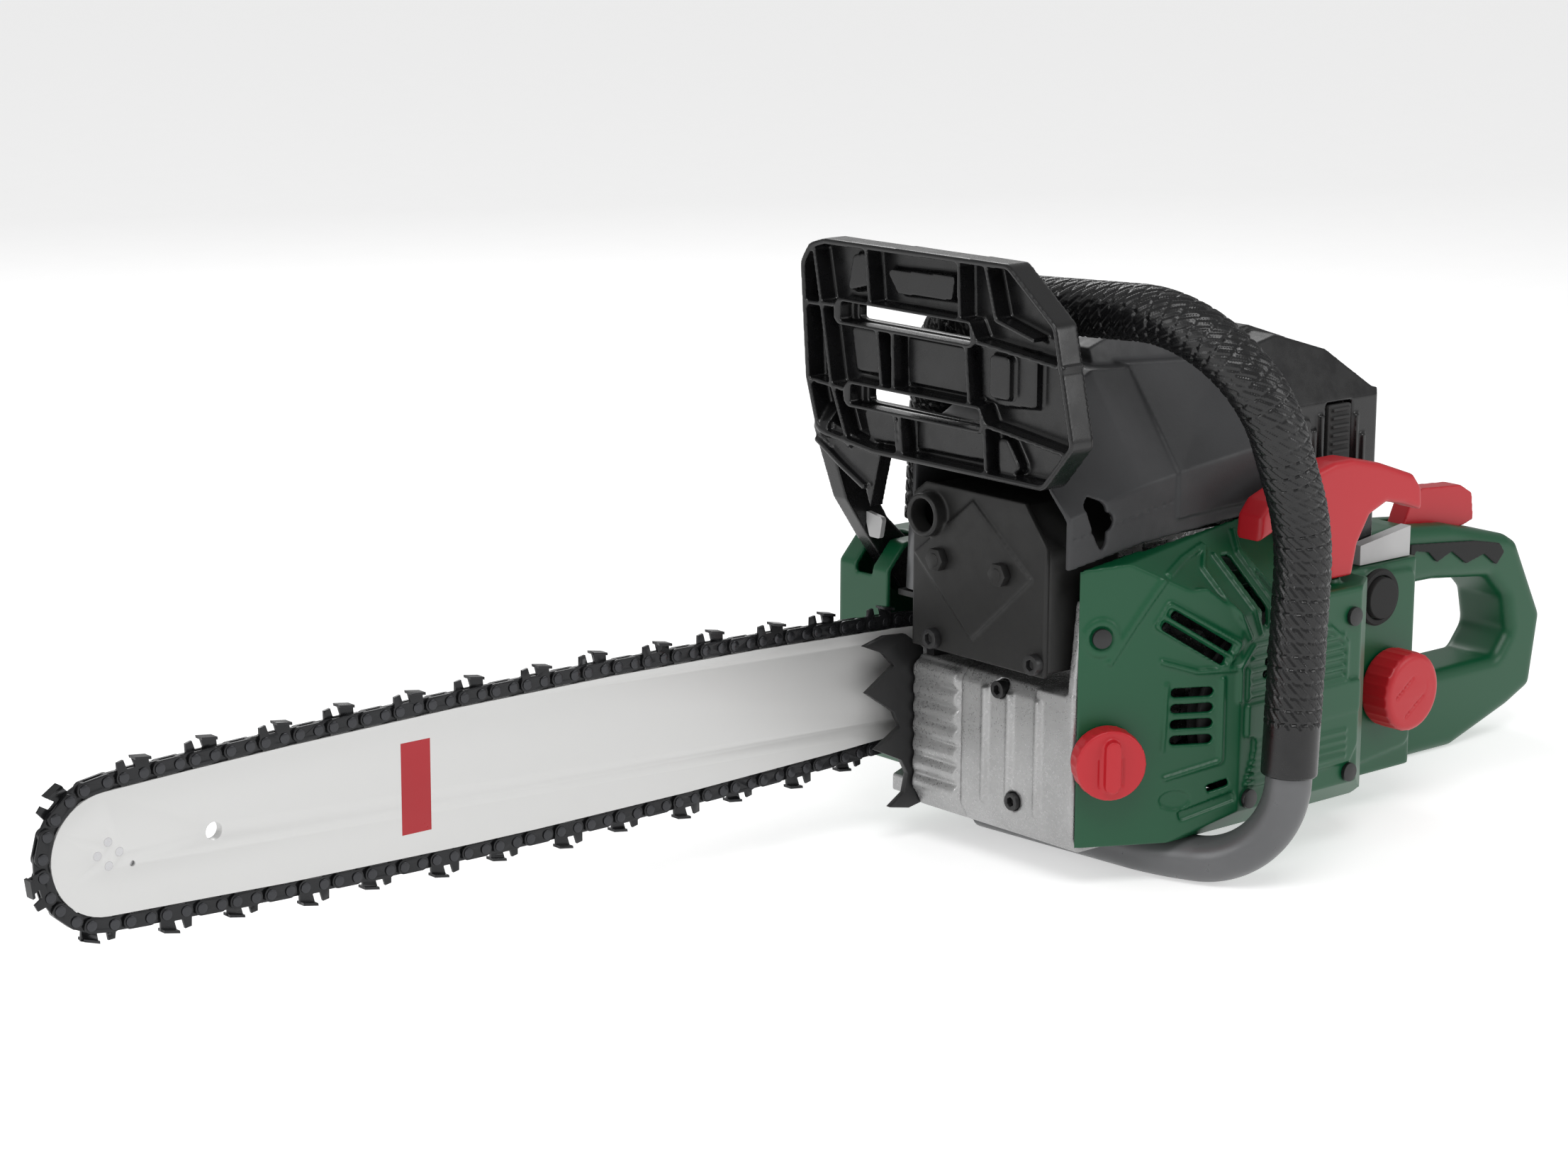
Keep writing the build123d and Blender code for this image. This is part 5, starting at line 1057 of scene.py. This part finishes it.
def make_stage():
    """Pale floor, soft lights and the camera."""
    floor_mesh = bpy.data.meshes.new("floor")
    half = 14.0
    floor_mesh.from_pydata([(-half, -half, -0.0002), (half, -half, -0.0002), (half, half, -0.0002),
                            (-half, half, -0.0002)], [], [(0, 1, 2, 3)])
    floor = bpy.data.objects.new("floor", floor_mesh)
    bpy.context.scene.collection.objects.link(floor)
    pale = finish_material("pale_floor", (0.82, 0.82, 0.82), 0.85, grain=0.0, mottle=0.01, specular=0.1)
    pale.node_tree.nodes["Principled BSDF"].inputs["Emission Color"].default_value = (1, 1, 1, 1)
    pale.node_tree.nodes["Principled BSDF"].inputs["Emission Strength"].default_value = 0.48
    floor_mesh.materials.append(pale)

    world = bpy.data.worlds.new("soft_world")
    world.use_nodes = True
    world.node_tree.nodes["Background"].inputs["Color"].default_value = (1.0, 1.0, 1.0, 1)
    world.node_tree.nodes["Background"].inputs["Strength"].default_value = 0.42
    bpy.context.scene.world = world
    bpy.context.scene.view_settings.view_transform = "Standard"

    def soft_light(name, place, target, size, power):
        data = bpy.data.lights.new(name, "AREA")
        data.shape = "RECTANGLE"
        data.size, data.size_y = size
        data.energy = power
        light = bpy.data.objects.new(name, data)
        bpy.context.scene.collection.objects.link(light)
        light.location = place
        light.rotation_euler = (Vector(target) - Vector(place)).to_track_quat("-Z", "Y").to_euler()

    middle = (cad_low + cad_high) / 2
    soft_light("key_light", (-0.9, -0.9, 1.7), middle, (1.2, 0.7), 15)
    soft_light("side_light", (0.9, -1.6, 0.9), middle, (0.9, 0.9), 8)
    soft_light("front_light", (-1.9, 0.2, 0.7), middle, (0.7, 0.9), 6)
    soft_light("back_light", (0.6, 1.4, 1.2), middle, (1.2, 0.6), 9)

    ahead = CAMERA_AHEAD.normalized()
    right = ahead.cross(Vector((0, 0, 1))).normalized()
    up = right.cross(ahead)
    rolled_right = right * math.cos(CAMERA_ROLL) + up * math.sin(CAMERA_ROLL)
    rolled_up = up * math.cos(CAMERA_ROLL) - right * math.sin(CAMERA_ROLL)
    data = bpy.data.cameras.new("camera")
    data.lens = CAMERA_LENS
    data.sensor_width = 36.0
    data.sensor_fit = "HORIZONTAL"
    camera = bpy.data.objects.new("camera", data)
    bpy.context.scene.collection.objects.link(camera)
    camera.matrix_world = Matrix((
        (rolled_right.x, rolled_up.x, -ahead.x, CAMERA_PLACE.x),
        (rolled_right.y, rolled_up.y, -ahead.y, CAMERA_PLACE.y),
        (rolled_right.z, rolled_up.z, -ahead.z, CAMERA_PLACE.z), (0, 0, 0, 1)))
    bpy.context.scene.camera = camera


# ---- operators --------------------------------------------------------------------------------
def operator(name, label, note, work):
    """Operator class that runs one making function."""

    def execute(self, context):
        work()
        return {"FINISHED"}

    return type("SAW_OT_" + name, (bpy.types.Operator,), {
        "bl_idname": "saw." + name, "bl_label": label, "bl_description": note, "__doc__": note,
        "bl_options": {"REGISTER", "UNDO"}, "execute": execute})


STEPS = [
    operator("stage", "Stage", "Makes the floor, the lights and the camera", make_stage),
    operator("kept_nodes", "CAD finishes", "Gives the CAD pieces that stay their finishes",
             finish_kept_nodes),
    operator("bar", "Guide bar", "Makes the painted guide bar", make_bar),
    operator("chain", "Chain", "Makes the saw chain", make_chain),
    operator("front_handle", "Front handle", "Makes the handle tube and its braided grip", make_front_handle),
    operator("hand_guard", "Hand guard", "Makes the ribbed front hand guard", make_hand_guard),
    operator("cylinder_cover", "Cylinder cover", "Makes the faceted cylinder cover", make_cylinder_cover),
    operator("filter_cover", "Filter cover", "Makes the filter cover and its latch", make_filter_cover),
    operator("starter_cover", "Starter cover", "Makes the slotted starter cover", make_starter_cover),
    operator("tank", "Tank and rear handle", "Makes the tank, rear handle and inlays", make_tank_and_handle),
    operator("clutch_cover", "Clutch cover", "Makes the clutch cover", make_clutch_cover),
    operator("crankcase", "Crankcase", "Makes the cast crankcase halves", make_crankcase),
    operator("muffler", "Muffler", "Makes the muffler, spikes and screws", make_muffler),
    operator("caps", "Caps", "Makes the fuel and oil caps", make_caps),
    operator("controls", "Controls", "Makes the starter handle, trigger, lockout and switches",
             make_controls),
]


class SAW_PT_looks(bpy.types.Panel):
    """Lists the saw's making steps and settings."""

    bl_idname = "SAW_PT_looks"
    bl_label = "Chainsaw"
    bl_space_type = "VIEW_3D"
    bl_region_type = "UI"
    bl_category = "Chainsaw"

    def draw(self, context):
        for step in STEPS:
            self.layout.operator(step.bl_idname)
        for group in (context.scene.saw_sizes, context.scene.saw_colours):
            for name in group.bl_rna.properties.keys():
                if name not in ("rna_type", "name"):
                    self.layout.prop(group, name)


CLASSES = [SawSizes, SawColours, *STEPS, SAW_PT_looks]


def register():
    for item in CLASSES:
        bpy.utils.register_class(item)
    bpy.types.Scene.saw_sizes = PointerProperty(type=SawSizes)
    bpy.types.Scene.saw_colours = PointerProperty(type=SawColours)


def unregister():
    del bpy.types.Scene.saw_colours
    del bpy.types.Scene.saw_sizes
    for item in reversed(CLASSES):
        bpy.utils.unregister_class(item)


def main():
    """Registers the add-on and runs each making step in order."""
    register()
    for step in STEPS:
        group, name = step.bl_idname.split(".")
        getattr(getattr(bpy.ops, group), name)()


if __name__ == "__main__":
    main()
